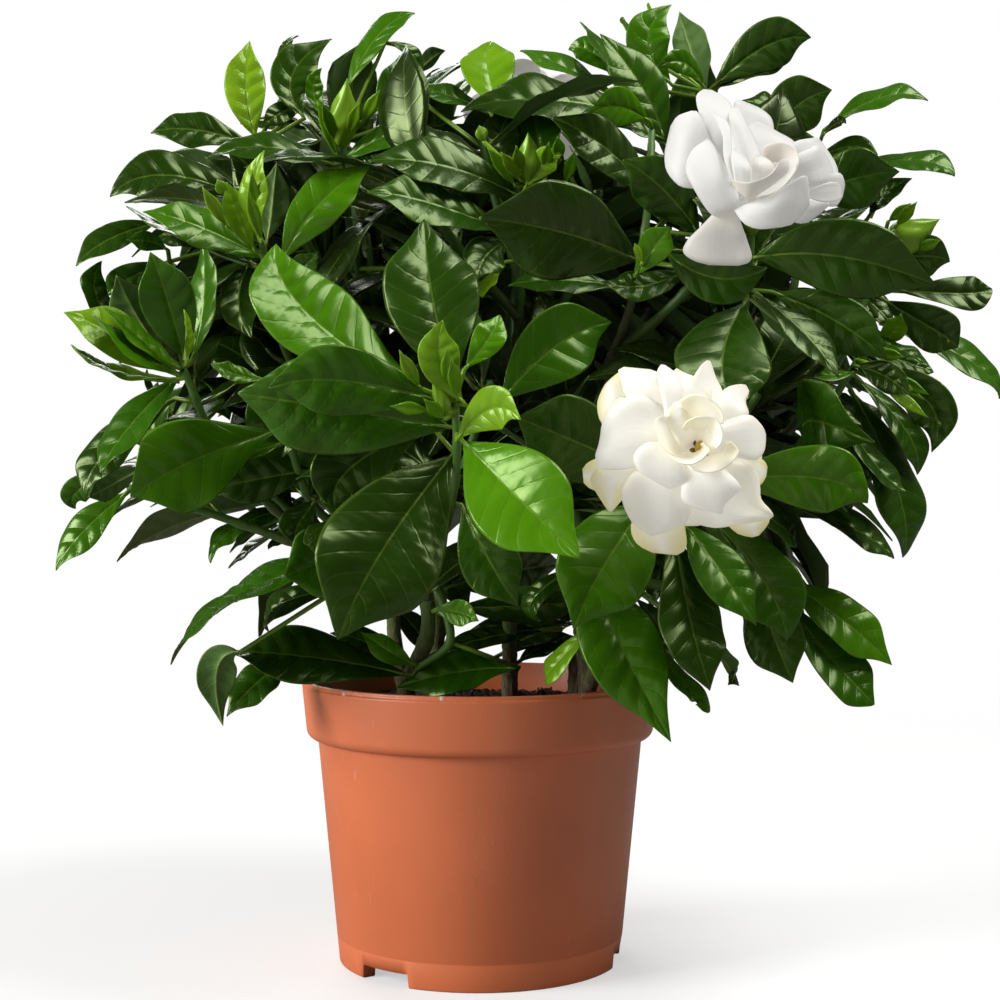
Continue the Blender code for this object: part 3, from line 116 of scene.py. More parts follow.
# Leaves and buds
CLEARANCE = 0.7
LEAF_ASPECT = 0.40
WIDEST_LEAF = 40.0
LEAF_ARCH = 0.07
LEAF_FOLD = 0.16
LEAF_THICKNESS = 0.9
LEAF_RINGS = ((0.24, 0.52), (0.5, 1.0), (0.8, 0.72))
EXTRA_RINGS = ((0.4, 0.92), (0.76, 0.8))
STALK_RING = (0.0, 0.0)
STALK_WIDTH = 1.2
PETIOLE = 3.5
LONG_PETIOLE = 9.0
ROOT_SKIP = 3
UNDERSIDE = 4
TIP_SHIFTS = (0, 4, -4, 8, -8, 12, -12, 17, -17, 22, -22, 28, -28, 35, -35)
NARROWER = (1.0, 0.82, 0.62)
CROSSINGS = (0, 1, 2)

# Heads of the shoots at the back, which the photo doesn't show, and how many leaves go on each
BACK_HEADS = {
    "back_left": ((-98, 58, 246), (-52, 70, 306), (-112, 30, 186), (-66, 104, 214), (-30, 112, 262)),
    "back_middle": ((21, 58, 309), (28, 116, 226), (0, 124, 172), (-18, 40, 306)),
    "back_right": ((104, 44, 276), (124, 30, 206), (76, 98, 246), (78, 44, 304), (92, 84, 180)),
}
BACK_LEAVES = 6
HIDDEN_LEAVES = 2
RULE_TRIES = 30
DEEPEST_TIP = 148.0
LOWEST_TIP = 96.0

# Petals
PETAL_CUP = 0.12
PETAL_THICKNESS = 1.2
PETAL_ROOT = 2.0
PETAL_RISE = 3.0
PETAL_ARCH = 2.5
PETAL_STAGGER = 8.0
PETAL_RINGS = ((0.3, 0.4), (0.64, 1.0), (0.9, 0.8))
PLAIN_PETAL_RINGS = ((0.45, 0.9), (0.85, 0.85))
PETAL_SHIFTS = (0, 3, -3, 6, -6, 9, -9, 13, -13)
CUP_TURNS = (0.4, 0.55, 0.25, 0.7, 0.1)

# Middle of a bloom, the green cup under it and the cream bloom's style and anthers
HEART_LENGTH = 9.0
CUP_RADIUS = 2.8
STYLE_LENGTH = 12.0
ANTHERS = 6

# The view's eye (mm), its focal length and its middle (px)
EYE = Vector((7.35, -655.0, 167.3))
FOCAL_PX = 1781.6
MIDDLE_PX = 500.0


def rows(text):
    """Rows of numbers, one for each line."""
    return [tuple(float(word) if "." in word else int(word) for word in line.split())
            for line in text.split("\n") if line]


def read_stems(text):
    """Stems by name: a lone name opens one, a name with numbers opens a shoot, and a row's length tells its kind."""
    stems = {}
    kinds = {10: ("leaves", 7), 7: ("buds", 5), 6: ("lobes", 4)}
    for line in text.split("\n"):
        if line[:1].isalpha():
            name, *way = line.split()
            if way:
                way = [int(word) for word in way]
                shoot = {"way": list(zip(way[::3], way[1::3], way[2::3])), "leaves": [], "buds": [], "lobes": []}
                shoots[name] = shoot
            else:
                shoots = stems[name] = {}
        elif line:
            row = list(rows(line)[0])
            kind, depths = kinds[len(row)]
            for k in (depths, depths + 1):
                row[k] += way[2]
            shoot[kind].append(row)
    return stems


# Leafy stems and their shoots. A shoot's way goes from its head down to the seat, as photo x, y (px) and depth (mm).
# A leaf has ten numbers: tip x, y, middle x, y, foot x, y and seen width (px), depth at foot and tip (mm), and tone.
# A bud has seven: tip x, y, foot x, y and width (px), depth at tip and foot (mm). A lobe has a bud's without its width.
# Their depths count from that of the shoot's head.
LEAFY_STEMS = read_stems("""
front
rosette 455 402 -120 457 450 -113 447 520 -82
424 219 433 300 455 385 96 8 32 0
268 388 345 382 440 400 71 1 -10 1
237 393 330 408 455 428 96 8 0 1
443 320 440 362 466 405 42 -2 -11 3
500 314 487 340 464 370 33 0 7 2
520 420 493 408 457 440 46 -1 -20 3
581 558 514 494 462 440 100 3 -26 2
338 640 385 547 455 452 124 12 -12 0
613 322 556 347 500 402 72 22 36 1
335 508 350 468 430 425 70 20 12 0
276 243 312 318 440 402 76 10 24 2
518 606 489 560 462 505 60 28 22 0
432 380 448 412 15 -6 -1
399 350 420 388 -11 -1
391 406 430 411 -13 -1
424 399 445 419 -14 -3
447 348 448 388 -15 -2
451 358 458 398 -16 -2
low_left 352 548 -72 400 585 -52
284 576 322 562 362 545 72 -2 -20 1
168 663 235 598 352 552 24 6 10 1
315 552 335 525 372 500 24 -10 -26 0
268 632 277 606 340 588 25 20 32 0
rim 418 668 -36 424 630 -36
223 726 218 668 240 652 40 -16 -10 4
232 652 300 655 412 676 56 0 -14 0
396 688 458 672 520 668 42 0 -21 1
361 632 386 650 414 664 25 -2 -8 2
478 621 458 612 432 612 27 -4 -16 2
left
rosette 183 368 -78 215 440 -66 300 530 -40
64 312 118 338 180 375 46 3 -10 3
72 344 112 369 180 379 12 2 -12 3
94 313 132 350 180 374 20 -2 -20 2
103 305 137 336 178 368 20 0 -14 2
116 275 136 315 168 357 44 10 4 4
103 261 98 300 140 350 26 18 22 0
150 252 168 302 185 360 55 -4 -18 1
202 236 204 300 190 364 30 0 2 1
185 309 189 335 187 362 9 -10 -14 3
100 473 128 428 182 374 36 6 -12 1
85 495 108 450 175 398 40 16 4 0
214 362 236 374 268 379 18 -8 -16 2
127 240 147 241 168 250 20 12 4 1
low_rosette 285 428 -68 310 500 -50
131 497 190 462 280 430 92 -4 -26 1
222 447 246 452 284 442 16 -2 -8 1
205 490 262 478 320 470 46 12 8 0
296 543 298 525 316 500 38 14 6 0
side 128 487 -46 200 510 -34 300 545 -22
55 570 85 530 130 490 33 0 -8 1
76 509 78 490 122 470 28 2 2 1
88 497 112 484 152 462 26 -4 -12 4
low_back 302 505 8 345 555 0
114 559 188 518 292 499 28 -2 -14 4
210 563 232 530 300 505 20 -6 -16 0
229 552 258 528 302 510 14 0 -6 4
227 567 258 543 300 513 6 2 2 0
268 549 282 541 312 540 9 -6 -14 0
258 641 276 590 310 545 27 -8 -12 4
upper_left
rosette 262 242 -80 275 320 -62 345 450 -32
143 210 203 228 268 260 42 8 -4 1
127 205 190 240 268 268 10 12 0 1
227 182 238 215 256 252 28 0 -10 3
263 150 253 195 260 240 28 -4 -12 3
277 162 273 205 266 243 34 4 2 4
372 164 318 206 280 264 50 2 6 2
318 252 302 268 282 280 26 10 0 1
252 338 239 300 250 262 40 12 4 0
352 274 336 262 300 300 22 20 18 1
217 179 226 196 -12 -8
202 187 228 228 -16 -4
252 170 258 232 -18 -4
248 190 262 242 -20 -6
left_arm 255 148 -38 272 230 -36 345 400 -14
109 196 172 176 262 205 44 -12 -20 0
150 132 197 130 255 146 36 2 -2 0
205 158 265 147 332 165 28 -14 -26 0
250 40 245 88 256 138 41 8 12 3
75 265 112 238 160 222 30 -8 -18 0
261 128 282 112 305 104 22 14 8 0
106 296 126 280 168 262 30 -4 -6 0
big_bud 342 142 -46 350 230 -38 400 400 -14
332 38 292 76 305 118 44 16 24 0
298 34 284 50 292 78 14 38 46 0
322 68 314 92 328 122 18 12 12 1
425 124 382 138 342 160 26 0 -12 1
415 12 378 36 346 90 25 16 22 1
418 85 413 55 385 42 14 28 26 0
400 55 394 90 380 128 36 12 14 0
445 50 428 60 405 82 16 50 54 4
367 330 358 298 392 268 40 4 -12 0
347 78 341 146 28 -12 -1
317 100 338 158 -10 0
322 102 337 142 -20 -2
360 102 348 135 -22 -4
380 90 362 122 -14 -4
upper_middle
young_bud 532 185 -64 522 280 -52 512 420 -22
526 88 536 130 545 175 50 10 22 1
517 106 500 142 522 178 40 8 14 0
562 155 543 163 524 190 28 -2 -12 3
368 160 445 166 522 198 48 2 -14 0
368 190 438 206 510 232 44 -2 -24 0
478 279 486 256 508 240 44 2 -12 0
482 297 488 283 505 262 14 4 -6 3
400 142 438 137 500 168 16 12 4 0
491 40 489 70 500 118 55 24 44 3
490 55 450 70 420 100 9 44 64 0
412 84 445 94 490 112 18 32 38 0
528 132 531 182 26 -10 -1
479 125 484 142 -10 -8
487 147 516 186 -12 -2
501 152 521 180 -16 -3
516 146 521 170 -18 -6
549 143 545 170 -18 -4
558 136 560 160 -16 -8
575 150 565 184 -14 -2
middle 652 128 -42 648 205 -58 632 300 -56 560 450 -20
460 108 545 99 640 118 46 2 -10 0
520 49 566 68 625 100 16 12 16 1
582 20 613 66 650 118 18 8 20 1
568 50 592 52 628 84 26 20 26 1
600 33 641 85 664 140 46 0 4 0
589 114 620 107 650 122 40 -4 -20 2
551 117 610 152 656 205 44 -16 -30 0
479 218 562 232 642 262 98 -32 -54 0
508 285 562 280 628 288 28 -20 -30 0
602 280 642 286 690 268 30 -28 -36 0
670 227 655 246 635 276 34 -38 -44 2
622 160 662 188 700 236 54 -18 -30 0
635 243 638 252 642 264 8 -42 -36 3
top 704 92 -16 692 200 -22 600 400 -8
672 4 648 40 672 85 44 -2 2 1
680 12 692 50 706 95 36 8 18 4
657 68 685 63 706 92 22 -4 -16 1
650 3 653 20 668 60 9 20 24 3
624 17 632 34 668 70 6 16 18 1
811 38 766 46 710 90 50 -4 -16 0
upper_right
white_bloom 752 222 -58 748 290 -56 700 420 -22
937 286 848 257 752 258 78 -8 -16 0
768 267 716 278 664 250 52 -16 -26 0
738 418 722 360 747 300 97 -12 -48 0
839 377 803 332 755 292 28 -8 -22 0
887 360 838 322 772 292 54 2 -8 0
812 343 779 321 752 297 22 -4 -14 4
right_top 812 165 -16 800 260 -26 740 420 -8
929 99 882 97 824 130 20 0 -4 1
846 124 838 122 822 136 10 -4 -6 0
878 155 852 147 816 158 20 2 -6 0
900 172 850 180 806 200 60 -6 -14 0
832 90 797 106 768 142 56 -10 -18 0
955 176 912 160 826 172 16 4 -6 1
right_bud 878 258 -22 850 340 -26 770 450 -8
950 262 924 256 884 262 42 -2 -8 0
992 288 960 293 890 290 34 6 4 0
958 348 934 330 884 300 46 0 -8 0
1000 399 972 362 880 322 30 16 18 1
900 314 894 330 872 345 24 -10 -20 3
928 366 902 350 862 334 12 -12 -24 0
934 372 905 362 852 342 26 2 0 0
940 219 884 250 34 -8 -2
911 203 888 222 -14 -6
917 202 896 226 -20 -6
941 240 915 250 -12 -6
right
cream_bloom 692 462 -98 672 500 -84 625 560 -48
517 417 578 442 668 486 86 12 2 0
868 503 812 478 706 482 68 10 -8 1
574 628 607 562 650 496 96 12 -10 1
712 690 690 618 672 520 62 18 2 0
757 625 722 572 682 522 50 16 0 1
787 641 764 580 690 500 66 22 10 0
792 545 780 525 712 484 24 14 20 0
far_right 858 360 -50 812 430 -50 700 530 -36
912 396 886 376 854 366 30 -4 -16 0
931 452 930 404 866 368 46 6 0 0
918 475 906 430 854 376 26 2 -4 0
904 558 898 490 850 388 46 4 -2 0
906 490 880 470 838 408 22 -6 -14 0
857 486 856 465 832 420 30 -4 -10 0
873 443 812 420 806 445 84 -10 -32 0
895 558 850 526 760 486 26 -8 -16 0
862 425 838 412 815 405 10 -8 -14 0
770 356 812 373 856 372 14 -4 -2 1
925 400 866 364 16 -10 -4
928 418 880 382 -18 -8
930 395 884 372 -12 -4
905 357 870 352 -10 -2
low_right
side 770 568 -58 690 570 -56
793 683 774 636 752 582 60 0 -8 0
892 665 845 622 782 580 46 4 4 2
876 704 840 668 774 590 46 6 0 1
rim 596 560 -62
671 742 618 640 592 566 78 -4 -28 1
545 680 556 664 596 622 22 4 12 3
698 703 688 688 620 610 20 0 -22 2
728 682 722 655 640 590 14 4 -4 4
541 623 532 600 580 566 22 -4 -8 0""")

# Blooms of the photo: core x, y (px) and depth (mm), axis, cup of inner petals (x, y, ring, count, seen width, depth at
# foot and tip), and the other petals: tip x, y, middle x, y, seen width (px), depth at middle and tip (mm)
BLOOMS = {
    "cream": {"core": (692, 456, -104), "axis": (0.05, -1.0, 0.12), "cup": (690, 440, 36, 6, 40, -128, -142),
              "petals": rows("""
617 368 650 408 58 -123 -121
668 362 680 402 48 -124 -120
708 359 706 402 46 -120 -112
748 385 727 414 54 -121 -115
765 430 735 438 54 -123 -117
769 472 737 468 54 -119 -110
764 532 731 502 62 -120 -112
686 556 690 512 64 -121 -114
646 551 662 515 48 -119 -110
611 511 641 487 46 -119 -113
580 476 624 464 54 -121 -114
599 404 636 430 54 -120 -111
628 444 654 449 50 -130 -133
660 490 671 472 48 -131 -132
723 513 709 482 58 -130 -131
740 488 720 470 44 -129 -129
752 412 727 424 46 -129 -128
662 372 673 408 40 -129 -131""")},
    "white": {"core": (752, 196, -66), "axis": (0.42, -0.78, 0.46), "cup": (770, 166, 24, 5, 34, -92, -108),
              "petals": rows("""
712 91 720 126 44 -82 -80
757 104 756 134 36 -76 -72
667 142 698 156 62 -84 -86
703 206 718 180 58 -92 -98
716 114 730 150 22 -90 -92
738 98 745 134 32 -84 -82
718 267 724 238 72 -88 -94
765 230 768 208 78 -94 -102
817 138 796 156 48 -84 -82
845 182 814 184 50 -86 -88
806 222 795 205 44 -88 -92
737 170 742 180 30 -98 -106""")},
}

# The shoot that carries each bloom
CARRIERS = {"cream": ("right", "cream_bloom"), "white": ("upper_right", "white_bloom"),
            "back": ("back_middle", "head_1")}

# The foliage's outline in the photo, a little inside its leaf tips (px)
OUTLINE = [rim for line in rows("""
75 345 90 300 100 262 80 262 118 215 112 196 150 160 152 130 180 111 225 110 228 75 248 45 268 65
300 38 330 40 345 75 355 35 400 10 413 15 413 50 440 60 458 75 490 42 517 70 560 60 590 25 620 35
650 8 675 8 715 50 740 30 800 25 808 50 830 82 838 105 880 92 920 98 880 112 850 125 880 150
910 150 905 200 938 215 950 260 985 290 962 310 990 370 995 393 955 368 933 368 940 430 920 455
915 545 903 556 870 520 862 485 865 502 800 512 795 540 802 575 850 615 885 658 868 655 875 698
830 680 805 665 792 680 740 620 715 600 708 685 680 690 670 735 655 705 640 690 560 690 310 680
260 680 225 715 210 680 230 655 325 620 320 595 300 590 262 625 170 660 240 585 285 560 215 560
290 505 190 505 130 500 60 560 95 500 65 495 90 455 105 430 150 400 150 383 100 365""")
           for rim in zip(line[::2], line[1::2])]

# Bloom at the back: its core, its axis and whorls of (petals, length, width, angle off the axis)
BACK_BLOOM = {"core": (22.0, 62.0, 315.0), "axis": (0.1, 0.6, 0.8),
              "whorls": ((6, 31.0, 19.0, 76.0), (5, 25.0, 16.0, 42.0))}


def point_at(px, py, depth):
    """The point at a depth (mm along Y) that the view shows at a photo position."""
    scale = (depth - EYE.y) / FOCAL_PX
    return Vector((EYE.x + (px - MIDDLE_PX) * scale, depth, EYE.z + (MIDDLE_PX - py) * scale))


def photo_position(point):
    """The photo position of a point."""
    scale = FOCAL_PX / (point.y - EYE.y)
    return MIDDLE_PX + (point.x - EYE.x) * scale, MIDDLE_PX - (point.z - EYE.z) * scale


def inside_outline(px, py):
    """Whether a photo position lies inside the foliage's outline."""
    inside = False
    for (ax, ay), (bx, by) in zip(OUTLINE, OUTLINE[1:] + OUTLINE[:1]):
        if (ay > py) != (by > py) and px < (bx - ax) * (py - ay) / (by - ay) + ax:
            inside = not inside
    return inside


def turned(vector, axis, angle):
    """A vector turned about a unit axis."""
    return (vector * cos(angle) + axis.cross(vector) * sin(angle)
            + axis * axis.dot(vector) * (1 - cos(angle)))


def square_to(vector, axis):
    """The part of a vector square to a unit axis, at unit length."""
    return (vector - axis * vector.dot(axis)).normalized()


def smooth_way(points):
    """A smooth curve through the points, with a point about every pitch."""
    lengths = [(b - a).length for a, b in zip(points, points[1:])]
    slopes = [(b - a).normalized() for a, b in zip(points, points[1:])]
    tangents = [slopes[0]]
    for i in range(1, len(slopes)):
        before, after = lengths[i - 1], lengths[i]
        tangents.append((slopes[i] * before + slopes[i - 1] * after) / (before + after))
    tangents.append(slopes[-1])
    way = []
    for i, length in enumerate(lengths):
        steps = max(1, round(length / WAY_PITCH))
        for k in range(steps):
            t = k / steps
            way.append(points[i] * (1 + 2 * t) * (1 - t) ** 2 + points[i + 1] * t * t * (3 - 2 * t)
                       + tangents[i] * length * t * (1 - t) ** 2 - tangents[i + 1] * length * t * t * (1 - t))
    way.append(points[-1].copy())
    return way


def tapered(way, first, last):
    """A radius for each point of a way, from first to last."""
    return [first + (last - first) * i / (len(way) - 1) for i in range(len(way))]


def nearest_on(ways, point):
    """The place on a stem's ways nearest to a point, past their first few points."""
    places = []
    for way in ways:
        for start, end in zip(way[ROOT_SKIP:], way[ROOT_SKIP + 1:]):
            run = end - start
            places.append(start + run * min(1.0, max(0.0, (point - start).dot(run) / run.dot(run))))
    return min(places, key=lambda place: (place - point).length)


@dataclass
class Blade:
    """A leaf or petal: its root in the stem, its foot, middle and tip, and its upper face's way."""

    root: Vector
    foot: Vector
    middle: Vector
    tip: Vector
    up: Vector
    width: float
    fold: float = LEAF_FOLD
    rings: tuple = EXTRA_RINGS
    tone: int = 0

    def centre(self, t):
        """The midrib from foot to tip: a parabola through the middle."""
        bend = 2 * self.middle - 0.5 * (self.foot + self.tip)
        return self.foot * (1 - t) ** 2 + bend * (2 * t * (1 - t)) + self.tip * t * t

    def shell(self, thickness):
        """Corners and faces: a flat upper face over a keel, from the root to the tip."""
        centres = [self.root] + [self.centre(t) for t, share in self.rings] + [self.tip]
        halves = [0.5 * STALK_WIDTH] + [0.5 * max(self.width * share, STALK_WIDTH) for t, share in self.rings]
        corners = []
        for i, half in enumerate(halves):
            ahead = (centres[i + 1] - centres[i]).normalized()
            behind = (centres[i] - centres[i - 1]).normalized() if i else ahead
            along = (ahead + behind).normalized()
            up = square_to(self.up, along)
            side = along.cross(up)
            top = centres[i] + up * (0.5 * self.fold * half if i else 0.5 * thickness)
            corners += [top + side * half, top - side * half, top - up * thickness]
        corners.append(self.tip.copy())
        last = 3 * len(self.rings)
        faces = [(2, 1, 0)]
        for a in range(0, last, 3):
            for k in range(3):
                b = a + (k + 1) % 3
                faces += [(a + k, b, b + 3), (a + k, b + 3, a + k + 3)]
        faces += [(last + k, last + (k + 1) % 3, last + 3) for k in range(3)]
        return corners, faces


def read_leaf(row, ways, tip_shift, narrow, rings):
    """A leaf from its photo row: its width and lean give the width that the view shows."""
    *marks, seen, foot_depth, tip_depth, tone = row
    tip_depth += tip_shift
    middle_depth = 0.5 * (foot_depth + tip_depth)
    foot = point_at(*marks[4:], foot_depth)
    middle = point_at(*marks[2:4], middle_depth)
    tip = point_at(*marks[:2], tip_depth)
    seen_mm = narrow * seen * (middle_depth - EYE.y) / FOCAL_PX
    along = (tip - foot).normalized()
    toward = (EYE - middle).normalized()
    across = along.cross(toward).normalized()
    facing = across.cross(along)
    length = (tip - foot).length
    width = max(seen_mm, min(LEAF_ASPECT * length, WIDEST_LEAF))
    share = min(1.0, seen_mm / width)
    lean = across * sqrt(1 - share * share)
    if tone == UNDERSIDE:
        facing = -facing
    up = max((facing * share + lean, facing * share - lean), key=lambda way: way.z)
    arch = toward * (LEAF_ARCH * length * up.dot(toward))
    return Blade(nearest_on(ways, foot), foot, middle + arch, tip, up, width, LEAF_FOLD, rings, tone)


def rule_leaf(way, place, bearing, tilt, length, rng):
    """A leaf that leaves its shoot by rule: its bearing about the shoot and its tilt off the shoot's axis."""
    index = min(len(way) - 2, max(ROOT_SKIP, place))
    root = way[index]
    axis = (way[min(len(way) - 1, index + 2)] - way[max(0, index - 2)]).normalized()
    out = turned(square_to(Vector((0.36, 0.48, 0.8)), axis), axis, bearing)
    along = (axis * cos(tilt) + out * sin(tilt)).normalized()
    up = square_to(axis - out * 0.35 + Vector((0, 0, 0.6)), along)
    foot = root + along * PETIOLE
    droop = Vector((0, 0, -length * rng.uniform(0.05, 0.22)))
    tip = foot + along * length + droop
    middle = foot + along * (0.5 * length) + up * (LEAF_ARCH * length) + droop * 0.2
    return Blade(root, foot, middle, tip, up, length * rng.uniform(0.38, 0.46))


def petal_base(core, axis, tip):
    """A petal's root inside the heart, and its foot."""
    foot = core + axis * PETAL_RISE
    return core + axis * PETAL_ROOT + square_to(tip - foot, axis), foot


def petal_choices(core, axis, places):
    """The petals that a few ways of placing one give, with fine rings and then with plain ones."""
    choices = []
    for rings in (PETAL_RINGS, PLAIN_PETAL_RINGS):
        for tip, middle, width, outward in places:
            root, foot = petal_base(core, axis, tip)
            up = square_to(outward, (tip - foot).normalized())
            choices.append(Blade(root, foot, middle, tip, up, width, PETAL_CUP, rings))
    return choices


def add_settled(petals, choices):
    """Adds the first choice of a petal that crosses the fewest others, and not itself."""
    found = []
    for rank, petal in enumerate(choices):
        shell = petal.shell(PETAL_THICKNESS)
        if not crosses_itself(shell):
            tree = BVHTree.FromPolygons(*shell)
            others = [BVHTree.FromPolygons(*other.shell(PETAL_THICKNESS)) for other in petals]
            found.append((sum(bool(tree.overlap(other)) for other in others), rank, petal))
    if found:
        petals.append(min(found, key=lambda entry: entry[:2])[2])


def photo_bloom(bloom):
    """A bloom's core, axis and petals: the photographed ones, then the cup about its middle."""
    core = point_at(*bloom["core"])
    axis = Vector(bloom["axis"]).normalized()
    petals = []
    for *marks, seen, mid_depth, tip_depth in bloom["petals"]:
        places = []
        for shift in PETAL_SHIFTS:
            tip = point_at(*marks[:2], tip_depth + shift)
            middle = point_at(*marks[2:], mid_depth + shift)
            width = seen * (mid_depth + shift - EYE.y) / FOCAL_PX
            places.append((tip, middle, width, axis + (core + axis * 40.0 - middle) * 0.02))
        add_settled(petals, petal_choices(core, axis, places))
    x, y, ring, count, seen, foot_depth, tip_depth = bloom["cup"]
    for k in range(count):
        places = []
        for turn in CUP_TURNS:
            angle = 2 * pi * k / count + turn
            across, down = ring * cos(angle), ring * sin(angle)
            tip = point_at(x + across, y + down, tip_depth)
            middle = point_at(x + 1.05 * across, y + 1.05 * down, 0.5 * (foot_depth + tip_depth))
            width = seen * (tip_depth - EYE.y) / FOCAL_PX
            places.append((tip, middle, width, point_at(x, y, tip_depth) - middle))
        add_settled(petals, petal_choices(core, axis, places))
    return core, axis, petals


def ruled_bloom(bloom):
    """A double bloom by rule: whorls of petals that open less towards its middle."""
    core = Vector(bloom["core"])
    axis = Vector(bloom["axis"]).normalized()
    petals = []
    for rank, (count, length, width, angle) in enumerate(bloom["whorls"]):
        for k in range(count):
            out = turned(square_to(Vector((1.0, 0.2, 0.1)), axis), axis, 2 * pi * k / count + 0.5 * rank)
            tilt = radians(angle + PETAL_STAGGER * (k % 2))
            along = axis * cos(tilt) + out * sin(tilt)
            tip = core + axis * PETAL_RISE + along * length
            root, foot = petal_base(core, axis, tip)
            up = square_to(axis, along)
            middle = foot.lerp(tip, 0.55) + up * PETAL_ARCH
            petals.append(Blade(root, foot, middle, tip, up, width, PETAL_CUP,
                                PLAIN_PETAL_RINGS if rank else PETAL_RINGS))
    return core, axis, petals


def taken_space(shell):
    """A shell as the clearance test keeps it."""
    low, high = ([pick(corner[k] for corner in shell[0]) for k in range(3)] for pick in (min, max))
    return low, high, BVHTree.FromPolygons(*shell)


def crossed(space, others):
    """The taken spaces that a space crosses."""
    low, high, tree = space
    near = (other for other in others
            if all(low[k] <= other[1][k] and high[k] >= other[0][k] for k in range(3)))
    return [other for other in near if tree.overlap(other[2])]


def crosses_itself(shell):
    """Whether any two faces of a shell that share no corner cross."""
    faces = shell[1]
    tree = BVHTree.FromPolygons(*shell)
    return any(a < b and not set(faces[a]) & set(faces[b]) for a, b in tree.overlap(tree))


def wound_faces(rings, sides):
    """Faces of a closed shell of rings of corners, with its two ends."""
    faces = []
    for a in range((rings - 1) * sides):
        b = a + 1 if (a + 1) % sides else a + 1 - sides
        faces.append((a, b, b + sides, a + sides))
    return faces + [tuple(reversed(range(sides))), tuple(range((rings - 1) * sides, rings * sides))]


def tube_shell(way, radii, sides=6):
    """Corners and faces of a tapered tube along a way."""
    corners = []
    out = Vector((0.9, 0.3, 0.2))
    for i, (point, radius) in enumerate(zip(way, radii)):
        along = (way[min(i + 1, len(way) - 1)] - way[max(i - 1, 0)]).normalized()
        out = square_to(out, along)
        corners += [point + turned(out, along, 2 * pi * k / sides) * radius for k in range(sides)]
    return corners, wound_faces(len(way), sides)


def turned_corners(profile, angles):
    """Corners and faces of a closed profile of (radius, height) turned about Z through the angles."""
    count = len(profile)
    corners = [(r * sin(a), -r * cos(a), z) for a in angles for r, z in profile]
    faces = []
    for k in range(len(angles)):
        here, there = k * count, (k + 1) % len(angles) * count
        for i in range(count):
            j = (i + 1) % count
            faces.append((here + i, there + i, there + j, here + j))
    return corners, faces


